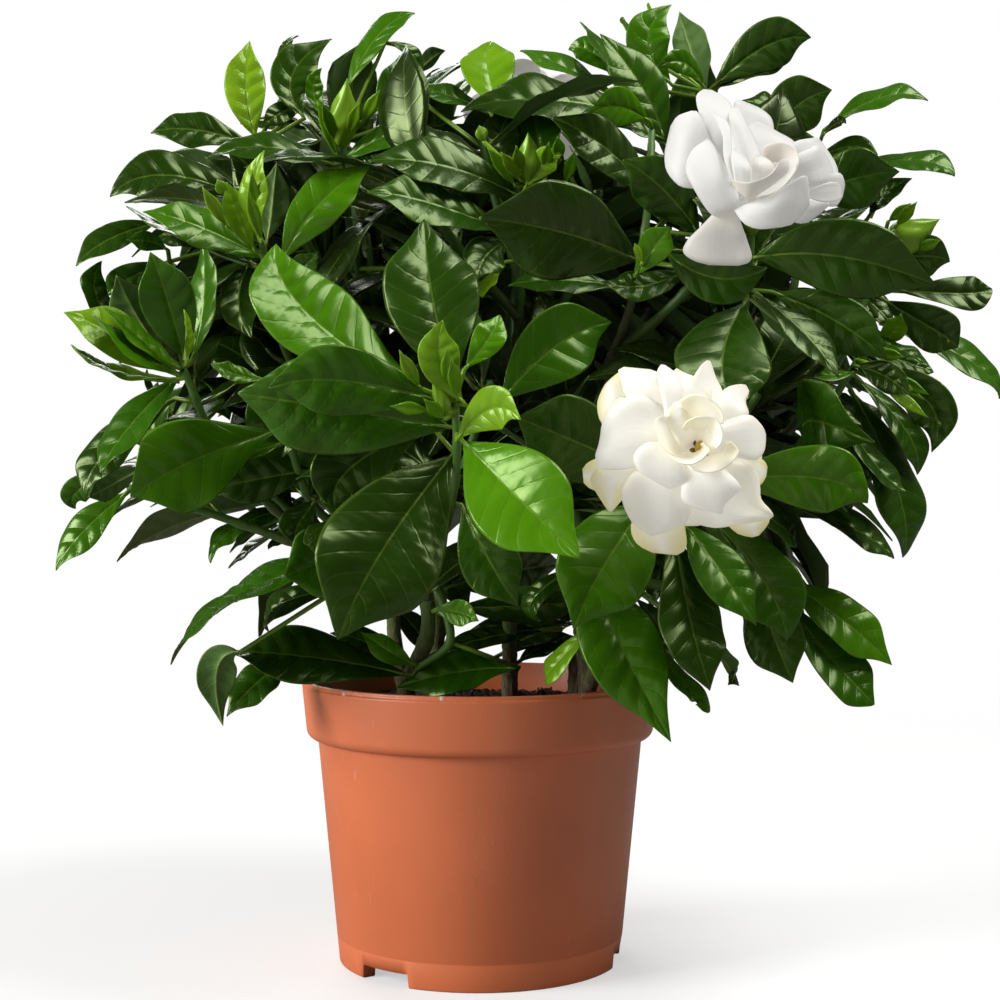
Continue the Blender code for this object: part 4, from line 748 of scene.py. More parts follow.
class Planting:
    """Every stem, leaf, bud and petal, placed so that those of different nodes stay clear."""

    def __init__(self):
        self.rng = Random(SEEDS["plant"])
        self.taken, self.own, self.blades, self.buds, self.cups = (defaultdict(list) for k in range(5))
        self.ways = {name: {} for name in SEATS}
        self.blooms = {}
        self.wood = {}
        self.place_pot()
        self.place_wood()
        self.place_blooms()
        self.place_shoots()
        self.place_cups()
        self.place_photo_leaves()
        self.place_rule_leaves()

    def is_clear(self, name, shell):
        """Whether a shell crosses nothing that another node has taken."""
        others = [space for owner, spaces in self.taken.items() if owner != name for space in spaces]
        return not crossed(taken_space(shell), others)

    def place_pot(self):
        """The pot's wall and the root ball, a little grown."""
        inner = LIP_RADIUS - WALL - CLEARANCE
        brim = POT_HEIGHT + CLEARANCE
        crust = SOIL_TOP + SOIL_RELIEF
        wall = ((LIP_RADIUS + CLEARANCE, brim), (LIP_RADIUS + CLEARANCE, 0.0), (inner, 0.0), (inner, brim))
        ball = ((inner, crust), (inner, 0.5 * crust), (1.0, 0.5 * crust), (1.0, crust))
        angles = [2 * pi * k / POT_STEPS for k in range(POT_STEPS)]
        self.taken["pot"] = [taken_space(turned_corners(profile, angles)) for profile in (wall, ball)]

    def place_wood(self):
        """Woody stems: a main one from its hole to its first seat, and a fork to its second."""
        for name, ((x, y), owners) in WOODY_STEMS.items():
            heights = (SOIL_TOP - HOLE_DEPTH + GAP, SOIL_TOP + 2.0, SOIL_TOP + COLLAR)
            upright = [Vector((x, y, z)) for z in heights]
            ways = []
            for points, owner in zip((upright, upright[-1:]), owners):
                seat = Vector(SEATS[owner])
                top = [seat - Vector((0, 0, run)) for run in (SEAT_RUN, GAP)]
                ways.append(smooth_way(points + top))
            self.wood[name] = ways
            shells = [tube_shell(way, tapered(way, WOOD_RADIUS + CLEARANCE, SEAT_RADIUS), 8) for way in ways]
            self.taken["woody_stem_" + name] = [taken_space(shell) for shell in shells]

    def place_blooms(self):
        """Petals, before any leaf."""
        for name, bloom in BLOOMS.items():
            self.blooms[name] = photo_bloom(bloom)
        self.blooms["back"] = ruled_bloom(BACK_BLOOM)
        for name, bloom in self.blooms.items():
            shells = [petal.shell(PETAL_THICKNESS + 2 * CLEARANCE) for petal in bloom[2]]
            self.taken["bloom_" + name] = [taken_space(shell) for shell in shells]

    def place_shoots(self):
        """The ways of the shoots, from their seat to their heads."""
        for name, stem in LEAFY_STEMS.items():
            for key, shoot in stem.items():
                self.find_way(name, key, [point_at(*place) for place in reversed(shoot["way"])])
        for name, heads in BACK_HEADS.items():
            seat = Vector(SEATS[name])
            for rank, head in enumerate(heads):
                head = Vector(head)
                bend = seat.lerp(head, 0.5) - Vector((0, 0, 0.12 * (head - seat).length))
                self.find_way(name, "head_%d" % (rank + 1), [bend, head])

    def find_way(self, name, key, points):
        """Places a shoot, and shifts the inner points of its way until it is clear."""
        seat = Vector(SEATS[name])
        start = [seat, seat + Vector((0, 0, STUB))]
        inner = points[:-1]
        for tries in range(WAY_TRIES):
            way = smooth_way(start + inner + points[-1:])
            shell = tube_shell(way[1:], tapered(way[1:], SEAT_RADIUS + CLEARANCE, HEAD_RADIUS + CLEARANCE))
            if self.is_clear(name, shell):
                break
            reach = WAY_REACH * (tries + 1)
            inner = [point + Vector([self.rng.uniform(-reach, reach) for k in range(3)])
                     for point in points[:-1]]
        self.ways[name][key] = way
        self.taken[name].append(taken_space(shell))

    def place_cups(self):
        """The green cup under each bloom, from its shoot's head to its core."""
        for name, (owner, key) in CARRIERS.items():
            core, axis = self.blooms[name][:2]
            self.cups[owner].append((self.ways[owner][key][-2], core - axis * GAP))

    def keep(self, name, blade, crossings):
        """Keeps a blade if it is clear of other nodes and crosses few blades of its own past its foot."""
        if (blade.foot - blade.root).length > LONG_PETIOLE:
            blade.rings = (STALK_RING,) + blade.rings
        corners, faces = blade.shell(LEAF_THICKNESS)
        past_foot = taken_space((corners, [face for face in faces if max(face) > 5]))
        grown = blade.shell(LEAF_THICKNESS + 2 * CLEARANCE)
        if (crosses_itself((corners, faces)) or len(crossed(past_foot, self.own[name])) > crossings
                or not self.is_clear(name, grown)):
            return False
        self.own[name].append(taken_space((corners, faces)))
        self.taken[name].append(taken_space(grown))
        self.blades[name].append(blade)
        return True

    def place_photo_leaves(self):
        """The leaves and buds read from the photo, shifted along the view where they would cross others."""
        for name, stem in LEAFY_STEMS.items():
            ways = self.ways[name].values()
            for shoot in stem.values():
                for row in shoot["leaves"]:
                    self.place_leaf(name, row, ways)
                for *marks, seen, tip_depth, foot_depth in shoot["buds"]:
                    tip, foot = point_at(*marks[:2], tip_depth), point_at(*marks[2:], foot_depth)
                    radius = 0.5 * seen * (tip_depth - EYE.y) / FOCAL_PX
                    shell = tube_shell((foot, tip), (radius + CLEARANCE, radius + CLEARANCE))
                    if self.is_clear(name, shell):
                        self.buds[name].append((nearest_on(ways, foot), foot, tip, radius))
                        self.taken[name].append(taken_space(shell))

    def place_leaf(self, name, row, ways):
        """Tries a leaf at its depth and near it, then narrower, with fewer rings or with more crossings."""
        for narrow, rings, crossings, shift in product(NARROWER, (LEAF_RINGS, EXTRA_RINGS), CROSSINGS, TIP_SHIFTS):
            if self.keep(name, read_leaf(row, ways, shift, narrow, rings), crossings):
                return

    def place_rule_leaves(self):
        """Leaves that the photo doesn't show: behind its shoots, and about the heads at the back."""
        for name, ways in self.ways.items():
            for way in ways.values():
                if name in LEAFY_STEMS:
                    self.add_hidden(name, way)
                else:
                    self.add_whorls(name, way)

    def add_whorls(self, name, way):
        """Whorls of three leaves down a shoot, longer and flatter from the head down."""
        rng = self.rng

        def draw(added):
            whorl = added // 3
            bearing = 2 * pi * (added % 3) / 3 + 1.05 * whorl + rng.uniform(-0.5, 0.5)
            tilt = radians(rng.uniform(18, 60) + 19 * whorl)
            length = rng.uniform(36, 46) + 12 * whorl
            place = len(way) - 1 - int(rng.uniform(0.4, 1.6) + 1.8 * whorl)
            return rule_leaf(way, place, bearing, tilt, length, rng)

        self.add_drawn(name, BACK_LEAVES, RULE_TRIES, draw)

    def add_hidden(self, name, way):
        """Leaves that point away from the view."""
        rng = self.rng

        def draw(added):
            place = len(way) - 2 - int(rng.uniform(0, 9))
            tilt = radians(rng.uniform(45, 105))
            blade = rule_leaf(way, place, rng.uniform(0, 2 * pi), tilt, rng.uniform(46, 62), rng)
            return blade if blade.tip.y > blade.root.y + PETIOLE else None

        self.add_drawn(name, HIDDEN_LEAVES, RULE_TRIES, draw)

    def add_drawn(self, name, count, tries, draw):
        """Keeps up to a count of the blades that a draw gives, with some tries for each."""
        added = 0
        for turn in range(count * tries):
            blade = draw(added)
            added += blade is not None and self.keep_inside(name, blade)
            if added == count:
                return

    def keep_inside(self, name, blade):
        """Keeps a blade that the foliage's outline hides and that crosses none."""
        hidden = all(inside_outline(*photo_position(point)) for point in (blade.tip, blade.middle))
        if not hidden or blade.tip.y > DEEPEST_TIP or blade.tip.z < LOWEST_TIP:
            return False
        return self.keep(name, blade, 0)


def eased(low, high, x):
    """A smooth step from 0 at low to 1 at high."""
    s = np.clip((x - low) / (high - low), 0.0, 1.0)
    return s * s * (3 - 2 * s)


def unit(rows):
    """Rows of vectors at unit length."""
    return rows / np.maximum(np.linalg.norm(rows, axis=1, keepdims=True), 1e-9)


class Sheaf:
    """Loose closed shapes that end up in one mesh, with what their material reads."""

    def __init__(self):
        self.corners = []
        self.faces = []
        self.fields = {}
        self.count = 0

    def add(self, corners, faces, **fields):
        """Adds a shape. Each field is one vector for all its corners or one for each."""
        corners = np.array(corners, float)
        count = self.count
        self.corners.append(corners)
        self.faces += [tuple(corner + count for corner in face) for face in faces]
        self.count += len(corners)
        for name, value in fields.items():
            self.fields.setdefault(name, []).append(np.broadcast_to(np.array(value, float), (len(corners), 3)))

    def piece(self, name, finish, slot, nodes=()):
        """The finished piece, which rides on the plant's body."""
        mesh = mesh_of(name, np.concatenate(self.corners), self.faces)
        for field, rows in self.fields.items():
            layer = mesh.attributes.new(field, "FLOAT_VECTOR", "POINT")
            layer.data.foreach_set("vector", np.concatenate(rows).astype(np.float32).ravel())
        mesh.materials.append(finish)
        return settle(linked(name, mesh), nodes)


def mesh_of(name, corners, faces):
    """A smooth mesh of corners in millimetres."""
    mesh = bpy.data.meshes.new(name)
    mesh.from_pydata((np.array(corners, float) * MM).tolist(), [], faces)
    mesh.shade_smooth()
    return mesh


def linked(name, data):
    """A new object in the scene."""
    made = bpy.data.objects.new(name, data)
    bpy.context.scene.collection.objects.link(made)
    return made


def settle(piece, nodes=()):
    """Says what a piece rides on and what it stands for."""
    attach(piece, "root")
    if nodes:
        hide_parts(*nodes)
    return piece


@cache
def sheet_faces(rows, columns):
    """Faces of a thin closed sheet: an upper grid, a lower one that shares its rims, and its two ends."""
    upper = np.arange(rows * columns).reshape(rows, columns)
    lower = upper.copy()
    lower[:, 1:-1] = upper.size + np.arange(rows * (columns - 2)).reshape(rows, -1)
    upper, lower = upper.tolist(), lower.tolist()
    faces = []
    for i, j in product(range(rows - 1), range(columns - 1)):
        faces.append((upper[i][j], upper[i][j + 1], upper[i + 1][j + 1], upper[i + 1][j]))
        faces.append((lower[i][j], lower[i + 1][j], lower[i + 1][j + 1], lower[i][j + 1]))
    for i, turn in ((0, -1), (-1, 1)):
        for j in range(columns - 1):
            loop = (upper[i][j], upper[i][j + 1], lower[i][j + 1], lower[i][j])[::turn]
            faces.append(tuple(dict.fromkeys(loop)))
    return faces


class Grid:
    """The grid of a thin closed sheet: stations from foot to tip, columns from side to side."""

    def __init__(self, rows, half_columns):
        self.across = np.array([-c for c in reversed(half_columns[1:])] + list(half_columns))
        self.t = np.linspace(0.0, 1.0, rows)[:, None]
        self.shape = rows, len(self.across)
        self.beneath = np.repeat((0.0, 1.0), (rows * len(self.across), rows * (len(self.across) - 2)))

    def fields(self, *values):
        """A vector for each corner, from values on the grid or on all corners."""
        columns = []
        for value in values:
            if value is not self.beneath:
                value = np.broadcast_to(value, self.shape)
                value = np.concatenate([value.reshape(-1), value[:, 1:-1].reshape(-1)])
            columns.append(value)
        return np.stack(columns, axis=1)

    def closed(self, over, down):
        """Corners of the upper face, and of the lower one inside its rims."""
        return np.concatenate([over.reshape(-1, 3), (over - down)[:, 1:-1].reshape(-1, 3)])


class Sheet(Grid):
    """A blade's fine form along its midrib."""

    def __init__(self, blade, rows, half_columns):
        super().__init__(rows, half_columns)
        foot, middle, tip = (np.array(point) for point in (blade.foot, blade.middle, blade.tip))
        bend = 2 * middle - 0.5 * (foot + tip)
        t = self.t
        self.centre = foot * (1 - t) ** 2 + bend * 2 * t * (1 - t) + tip * t * t
        self.along = unit((bend - foot) * (1 - t) + (tip - bend) * t)
        lift = np.array(blade.up)
        self.up = unit(lift - self.along * (self.along @ lift)[:, None])
        self.side = np.cross(self.along, self.up)
        self.length = np.linalg.norm(np.diff(self.centre, axis=0), axis=1).sum()

    def twist(self, angles):
        """Turns each station about the midrib."""
        c, s = np.cos(angles), np.sin(angles)
        self.side, self.up = self.side * c + self.up * s, self.up * c - self.side * s

    def close(self, half, rise, thickness):
        """Corners of the closed sheet: its half widths, the rise of its upper face, and its thickness."""
        over = (self.centre[:, None, :] + self.side[:, None, :] * (half * self.across)[:, :, None]
                + self.up[:, None, :] * rise[:, :, None])
        return self.closed(over, self.up[:, None, :] * thickness[:, :, None])


# Stations and columns of the leaves: those of the leafy stems, then the plainer ones deep in the plant
ROWS_A_VEIN = 5
FILL_ROWS = 12
LEAF_COLUMNS = (0.0, 0.06, 0.25, 0.5, 0.75, 0.94, 1.0)
FILL_COLUMNS = (0.0, 0.3, 0.7, 1.0)


def leaf_shell(blade, rng, rows, half_columns):
    """A leaf's corners, faces and fields: folded, waved, with its lamina raised between its veins."""
    sheet = Sheet(blade, rows, half_columns)
    t, v = sheet.t, sheet.across
    a = np.abs(v)
    power = rng.uniform(1.1, 1.4)
    outline = t ** power * (1 - t)
    outline *= 1 - 0.36 * eased(0.68, 0.93, t)
    outline /= outline.max()
    half = 0.5 * blade.width * np.maximum(outline, 0.03 * (1 - t) + 0.008)
    sheet.twist((t - 0.4) * rng.uniform(-0.5, 0.5))
    sway = rng.uniform(-0.035, 0.035) * sheet.length
    sheet.centre += sheet.side * (sway * np.sin(pi * t) * (t - 0.35))
    hook = rng.uniform(0.0, 0.35) * sheet.length
    sheet.centre -= sheet.up * (hook * np.maximum(t - 0.75, 0) ** 2)
    droop = rng.uniform(0.08, 0.2)
    rise = half * (blade.fold * 1.25 * a - droop * a ** 3)
    waves, ripple = rng.uniform(1.2, 2.8), rng.uniform(0.05, 0.14)
    for sign in (-1, 1):
        wave = np.sin(2 * pi * (waves * t + rng.random())) * ripple
        rise += half * wave * np.where(v * sign > 0, a, 0) ** 2
    count = vein_count(blade)
    slant = 0.33 * blade.width / sheet.length
    vein = count * (1.04 * t - slant * a ** 1.15)
    fade = outline ** 0.6 * np.minimum(1.0, a / 0.14) * (1 - a ** 5)
    rise += rng.uniform(0.019, 0.029) * sheet.length * (np.abs(np.sin(pi * vein)) ** 0.8 - 0.6) * fade
    rise -= 0.3 * np.maximum(0, 1 - a / 0.05) * (1 - t)
    thickness = 0.45 * (1 - a ** 8) + 0.9 * np.maximum(0, 1 - a / 0.1) * (1 - t) ** 0.6
    fields = {"place": sheet.fields(t, v, vein), "size": sheet.fields(half * a, half, sheet.beneath)}
    return sheet.close(half, rise, thickness), sheet_faces(*sheet.shape), fields


def vein_count(blade):
    """Pairs of side veins of a leaf."""
    return max(6, min(11, round((blade.tip - blade.foot).length / 7.5)))


def add_leaf(sheaf, blade, rng, tone, rows=0, half_columns=LEAF_COLUMNS):
    """Adds a leaf with its stalk."""
    rows = rows or ROWS_A_VEIN * vein_count(blade) + 4
    corners, faces, fields = leaf_shell(blade, rng, rows, half_columns)
    tint = (tone, rng.random(), 1.0)
    sheaf.add(corners, faces, tint=tint, **fields)
    foot = blade.foot
    stalk = [blade.root, foot, blade.centre(0.04), blade.centre(0.1)]
    shell = tube_shell(stalk, (0.9, 0.75, 0.65, 0.2), 6)
    sheaf.add(*shell, place=(0, 0, 0.5), size=(0, 1, 0), tint=(tone, tint[1], 0.0))


PETAL_ROWS = 22
PETAL_COLUMNS = (0.0, 0.2, 0.42, 0.64, 0.82, 0.94, 1.0)
PETAL_OUTLINE = ((0, 0.12, 0.3, 0.5, 0.68, 0.82, 0.92, 0.97, 1), (0.3, 0.42, 0.68, 0.93, 1, 0.86, 0.55, 0.3, 0.05))


def add_petal(sheaf, petal, rng, roll, cupped):
    """Adds a thick waxy petal: broad above its middle, its rims rolled back and its tip drawn to a point."""
    sheet = Sheet(petal, PETAL_ROWS, PETAL_COLUMNS)
    t, v = sheet.t, sheet.across
    a = np.abs(v)
    half = 0.5 * petal.width * np.interp(t, *PETAL_OUTLINE)
    sheet.twist((t - 0.3) * rng.uniform(-0.5, 0.5))
    drop = sheet.length * roll * rng.uniform(0.7, 1.3)
    sheet.centre -= sheet.up * (drop * np.maximum(t - 0.72, 0) ** 2 * 3)
    rise = half * cupped * (a ** 2 - 0.3)
    rise = rise - half * roll * rng.uniform(0.8, 1.3) * np.maximum(a - 0.62, 0) ** 2 * 5 * eased(0.2, 0.6, t)
    for sign in (-1, 1):
        wave = np.sin(2 * pi * (rng.uniform(1.0, 2.0) * t + rng.random())) * rng.uniform(0.05, 0.14)
        rise += half * wave * np.where(v * sign > 0, a, 0) ** 2 * eased(0.2, 0.7, t)
    rise -= 0.25 * np.maximum(0, 1 - a / 0.3) * (1 - t)
    thickness = 0.9 * (1 - a ** 6) * (1 - 0.4 * t)
    sheaf.add(sheet.close(half, rise, thickness), sheet_faces(*sheet.shape), place=sheet.fields(t, v, sheet.beneath),
              tint=(0.2, rng.random(), 0.0))


BUD_RINGS = 14
BUD_SIDES = 20


def add_bud(sheaf, root, foot, tip, radius, rng):
    """Adds a closed bud: a green spindle of five petals wound about each other, on its stalk."""
    along = (tip - foot).normalized()
    out = square_to(Vector((0.9, 0.3, 0.2)), along)
    length = (tip - foot).length
    corners = []
    for i in range(BUD_RINGS):
        t = i / (BUD_RINGS - 1)
        size = radius * (0.3 + 0.75 * sin(pi * min(1.0, t * 0.95) ** 0.75)) * (1 - t ** 4) + 0.02
        for k in range(BUD_SIDES):
            angle = 2 * pi * k / BUD_SIDES
            ridge = 1 + 0.1 * cos(5 * (angle - 2.2 * t))
            corners.append(foot + along * (length * t) + turned(out, along, angle) * size * ridge)
    fields = {"place": (0.5, 0, 0.5), "size": (0, 1, 0), "tint": (0.74, rng.random(), 0.0)}
    sheaf.add(corners, wound_faces(BUD_RINGS, BUD_SIDES), **fields)
    sheaf.add(*tube_shell([root, foot, foot.lerp(tip, 0.2)], (1.3, 1.3, 1.0), 8), **fields)


def add_tube(sheaf, way, radii, rng, sides=10, knots=0.0):
    """Adds a shoot or limb: a tube along a way, a little thicker where leaves have left it."""
    length = 0.0
    marks = []
    for i, point in enumerate(way):
        length += (point - way[i - 1]).length if i else 0.0
        marks.append(length)
    radii = [radius * (1 + knots * max(0.0, cos(2 * pi * mark / 17.0)) ** 6) for radius, mark in zip(radii, marks)]
    corners, faces = tube_shell(way, radii, sides)
    place = [(mark, 2 * pi * k / sides, length - mark) for mark in marks for k in range(sides)]
    sheaf.add(corners, faces, place=place, size=(0, 1, 0), tint=(rng.random(), rng.random(), 0.0))


def fine_way(way, parts=3):
    """The way with more points, on the smooth curve through its own."""
    fine = []
    for i in range(len(way) - 1):
        before, after = way[max(i - 1, 0)], way[min(i + 2, len(way) - 1)]
        for k in range(parts):
            t = k / parts
            a, b = way[i], way[i + 1]
            fine.append(0.5 * (2 * a + (b - before) * t + (2 * before - 5 * a + 4 * b - after) * t * t
                               + (3 * a - before - 3 * b + after) * t ** 3))
    fine.append(way[-1].copy())
    return fine


def rounded(profile, radii):
    """The profile with its inner corners rounded by arcs of the radii."""
    out = []
    for i, point in enumerate(profile):
        radius = radii.get(i, 0.0)
        if not radius:
            out.append(point)
            continue
        here = np.array(point)
        before = np.array(profile[i - 1]) - here
        after = np.array(profile[(i + 1) % len(profile)]) - here
        reach = min(radius, 0.45 * np.linalg.norm(before), 0.45 * np.linalg.norm(after))
        start = here + before / np.linalg.norm(before) * reach
        end = here + after / np.linalg.norm(after) * reach
        for k in range(5):
            t = k / 4
            out.append(tuple(start * (1 - t) ** 2 + here * 2 * t * (1 - t) + end * t * t))
    return out


DRAWN_ROWS = 26
LOW_LIFT = 0.9
DRAWN_COLUMNS = (0.0, 0.22, 0.44, 0.64, 0.8, 0.91, 0.97, 1.0)


def read_petals(x, y, depth, text):
    """Petals as (bulge, yellow, rooted, stations): a row of three opens one, and the next ones are its stations."""
    petals = []
    for row in rows(text):
        if len(row) == 3:
            petals.append((*row, []))
        else:
            petals[-1][3].append((x + row[0], y + row[1], x + row[2], y + row[3], depth - row[4], depth - row[-1]))
    return petals


# Petals as the photo shows them, back ones first. Each has its bulge, how yellow its rim is, whether it starts in the
# bloom's heart, and stations up to its tip: left x, y, right x, y (px), and how near its left side is (mm), and its
# right side where that differs. They count from the photo x, y (px) and the depth (mm) at the table's head.
DRAWN = {
    "cream": read_petals(681, 411, -115, """
0.1 0.3 1
-31 23 41 23 0
-47 -9 51 -3 2
-31 -33 37 -27 -1
0.1 0.3 1
-29 75 -29 9 0
-69 73 -65 -13 1 2
-84 55 -79 7 -2 -1
0.1 0.3 1
41 9 41 79 0
71 7 73 87 1
81 25 81 71 -2
0.1 0.3 1
47 63 -33 67 0
49 97 -45 97 0
27 115 -29 115 -3
0.1 0.9 1
-65 25 -41 -13 0
-81 10 -53 -29 -1
-84 -7 -61 -38 -4 -3
-78 -25 -68 -35 -9 -8
0.2 0.4 1
-5 -11 31 -6 4
-9 -25 30 -21 4 3
-8 -38 21 -32 2 0
-5 -44 3 -38 -1 -3
0.2 0.2 1
9 -9 43 -1 5 3
8 -25 42 -19 4 1
18 -43 35 -34 2 -2
25 -51 30 -50 -2 -5
0.2 0.9 1
59 41 57 75 2
76 45 76 76 2 1
87 53 85 68 -3 -4
0.2 0.9 1
71 87 31 103 -1
87 102 45 113 -3
87 114 59 124 -6
80 124 69 127 -10
0.2 0.8 1
3 94 -39 97 1
4 115 -50 113 0
6 132 -47 129 -3
3 145 -36 141 -8
0.22 0.8 1
-53 77 -51 47 2 3
-75 82 -79 46 1 2
-97 76 -99 54 -5 -4
0.22 0.8 1
-41 65 -81 53 5 4
-51 80 -91 71 3 2
-59 89 -82 86 -1 -2
-68 101 -74 100 -6
0.1 0.2 1
-39 3 -11 -6 6 7
-56 -15 -17 -23 6 7
-61 -31 -21 -34 3 5
-65 -45 -23 -41 -2 1
0.12 0.3 1
51 49 9 71 6
73 57 3 93 6
79 73 10 110 5
80 87 33 117 3
88 97 61 113 0
94 104 87 110 -4
0.2 0.3 1
33 3 57 17 8 9
36 -14 68 3 8 9
45 -23 65 -8 6
64 -28 69 -19 1
0.18 0.15 1
11 67 -41 55 10
10 89 -59 77 11
8 107 -56 99 9
-2 117 -46 115 6
-21 123 -31 126 1
0.15 0.05 1
-34 53 -21 -7 11
-49 57 -41 -17 12
-67 59 -67 -6 10 11
-82 58 -78 9 6 7
-87 47 -81 29 2
0.2 0.1 1
35 13 43 43 14
51 7 58 47 14
70 4 76 49 12
80 13 83 41 9 8
85 21 85 32 4
0.2 0.0 1
43 57 5 61 14
57 71 0 78 16
59 80 3 92 15
46 91 17 98 12
42 103 39 103 8
0.22 0.0 1
1 51 -39 33 14 13
8 64 -48 47 16 15
3 74 -40 63 15
-11 79 -24 72 12
0.3 0.0 1
-17 21 3 13 9
-17 -1 4 -6 12
-22 -25 2 -21 12
-24 -39 -4 -37 10 9
-21 -47 -15 -46 6
-0.15 0.1 0
-2 -11 3 15 15 12
11 -17 11 10 17 13
28 -13 24 8 18 14
40 -2 35 12 17 14
44 13 37 21 15 12
0.2 0.4 1
-5 25 11 19 11
-15 7 7 5 14
-9 -9 5 -9 14
-0.1 0.4 1
-5 39 25 37 3
-9 27 27 25 7
-5 13 25 11 10
0.0 0.0 0
50 30 35 35 16 12
58 40 33 41 19 12
52 51 27 45 20 12
41 59 21 47 20 12
27 62 13 49 20 12
14 59 9 50 19 12
3 52 5 49 16 12
0.0 0.0 0
0 47 7 44 17 9
-9 44 2 40 20 9
-21 33 0 33 21 7
-27 19 0 26 20 7
-25 8 2 20 18 7
-13 3 5 16 16 7
0.0 0.0 0
1 17 7 23 16 8
8 9 11 20 21 8
22 5 18 21 23 8
36 8 24 26 23 8
42 19 25 31 23 8
41 31 23 35 22 8
32 41 20 38 19 8
0.0 0.0 0
22 32 19 33 19 11
28 38 20 36 23 9
22 47 16 40 25 9
11 53 10 42 25 9
-1 52 4 41 24 9
-14 44 0 38 21 9"""),
    "white": read_petals(731, 111, -83, """
-0.1 0.0 1
7 25 37 36 -7
3 1 43 21 -9 -10
5 -12 40 6 -12
15 -9 30 -3 -16
-0.12 0.0 1
-15 39 9 39 1
-24 21 6 17 2 0
-32 2 3 1 0 -2
-35 -14 -3 -11 -3 -6
-30 -22 -17 -21 -8 -9
0.16 0.0 1
-17 79 -13 31 1 -1
-36 78 -23 19 3 2
-52 75 -34 0 3
-63 63 -47 2 0 1
-68 47 -59 8 -5 -4
-0.1 0.0 1
26 54 59 65 1
19 29 67 47 0 -1
16 14 64 31 -3 -4
26 9 46 20 -8
-0.1 0.0 1
59 39 81 71 -3
65 30 105 67 -4
80 27 106 55 -7
87 26 95 36 -11
0.15 0.0 1
83 67 77 87 1 2
97 63 89 93 3 4
109 62 103 96 3 4
115 71 111 89 0
0.1 0.0 1
63 44 65 73 5
75 39 81 75 6 7
86 34 96 71 5
95 42 104 60 1
0.25 0.0 1
81 87 62 101 7
99 92 63 111 7 8
93 100 74 114 3 4
0.2 0.1 0
9 85 -5 85 3
6 98 -15 99 6
11 114 -31 116 9
17 131 -45 131 12 11
21 146 -47 143 11 10
16 155 -31 154 8
-0.2 0.0 1
75 81 75 86 10
91 73 89 91 11
109 70 111 90 9
0.25 0.1 1
4 65 31 55 9
1 39 29 41 7
-1 22 24 27 5 4
-2 6 15 10 1
0 -5 9 -4 -3
0.15 0.0 1
32 86 4 101 14 13
48 79 12 112 17 16
63 69 25 118 19 18
76 65 44 117 18
78 80 60 114 15
80 92 72 104 11
0.25 0.0 1
-25 98 17 88 11 14
-38 77 3 73 12 14
-46 60 -6 54 10 12
-41 42 -16 35 7 8
-31 30 -22 27 3 4
0.3 0.0 1
-3 61 5 63 15
-8 41 1 36 12
-8 27 0 22 10
-13 14 -3 11 7
-19 1 -15 2 3
0.0 0.2 0
31 36 33 55 9 5
41 32 39 52 12 5
54 32 48 51 14 5
66 40 53 55 15 6
68 52 52 61 16 7
58 70 45 67 17 9
44 82 35 73 17 11
19 88 21 79 16 12
0.2 0.3 1
20 71 37 68 13
19 59 44 58 15 14
23 49 39 49 14 13
28 44 32 45 11
0.25 0.1 1
4 73 20 71 18
1 57 21 60 19
0 46 17 49 17
2 36 9 40 14
0.1 0.0 0
1 70 2 74 19 16
10 71 9 82 23 18
18 71 17 88 25 18
33 67 32 81 26 18
43 60 46 71 26 18
48 51 57 60 24 17
53 47 59 50 20 16"""),
}


def through(points, marks, places):
    """Points at the given places of a smooth curve that passes the points at their marks."""
    slopes = np.gradient(points, marks, axis=0)
    i = np.clip(np.searchsorted(marks, places, side="right") - 1, 0, len(marks) - 2)
    gap = (marks[i + 1] - marks[i])[:, None]
    s = (places - marks[i])[:, None] / gap
    return ((2 * s ** 3 - 3 * s ** 2 + 1) * points[i] + (s ** 3 - 2 * s ** 2 + s) * gap * slopes[i]
            + (3 * s ** 2 - 2 * s ** 3) * points[i + 1] + (s ** 3 - s ** 2) * gap * slopes[i + 1])


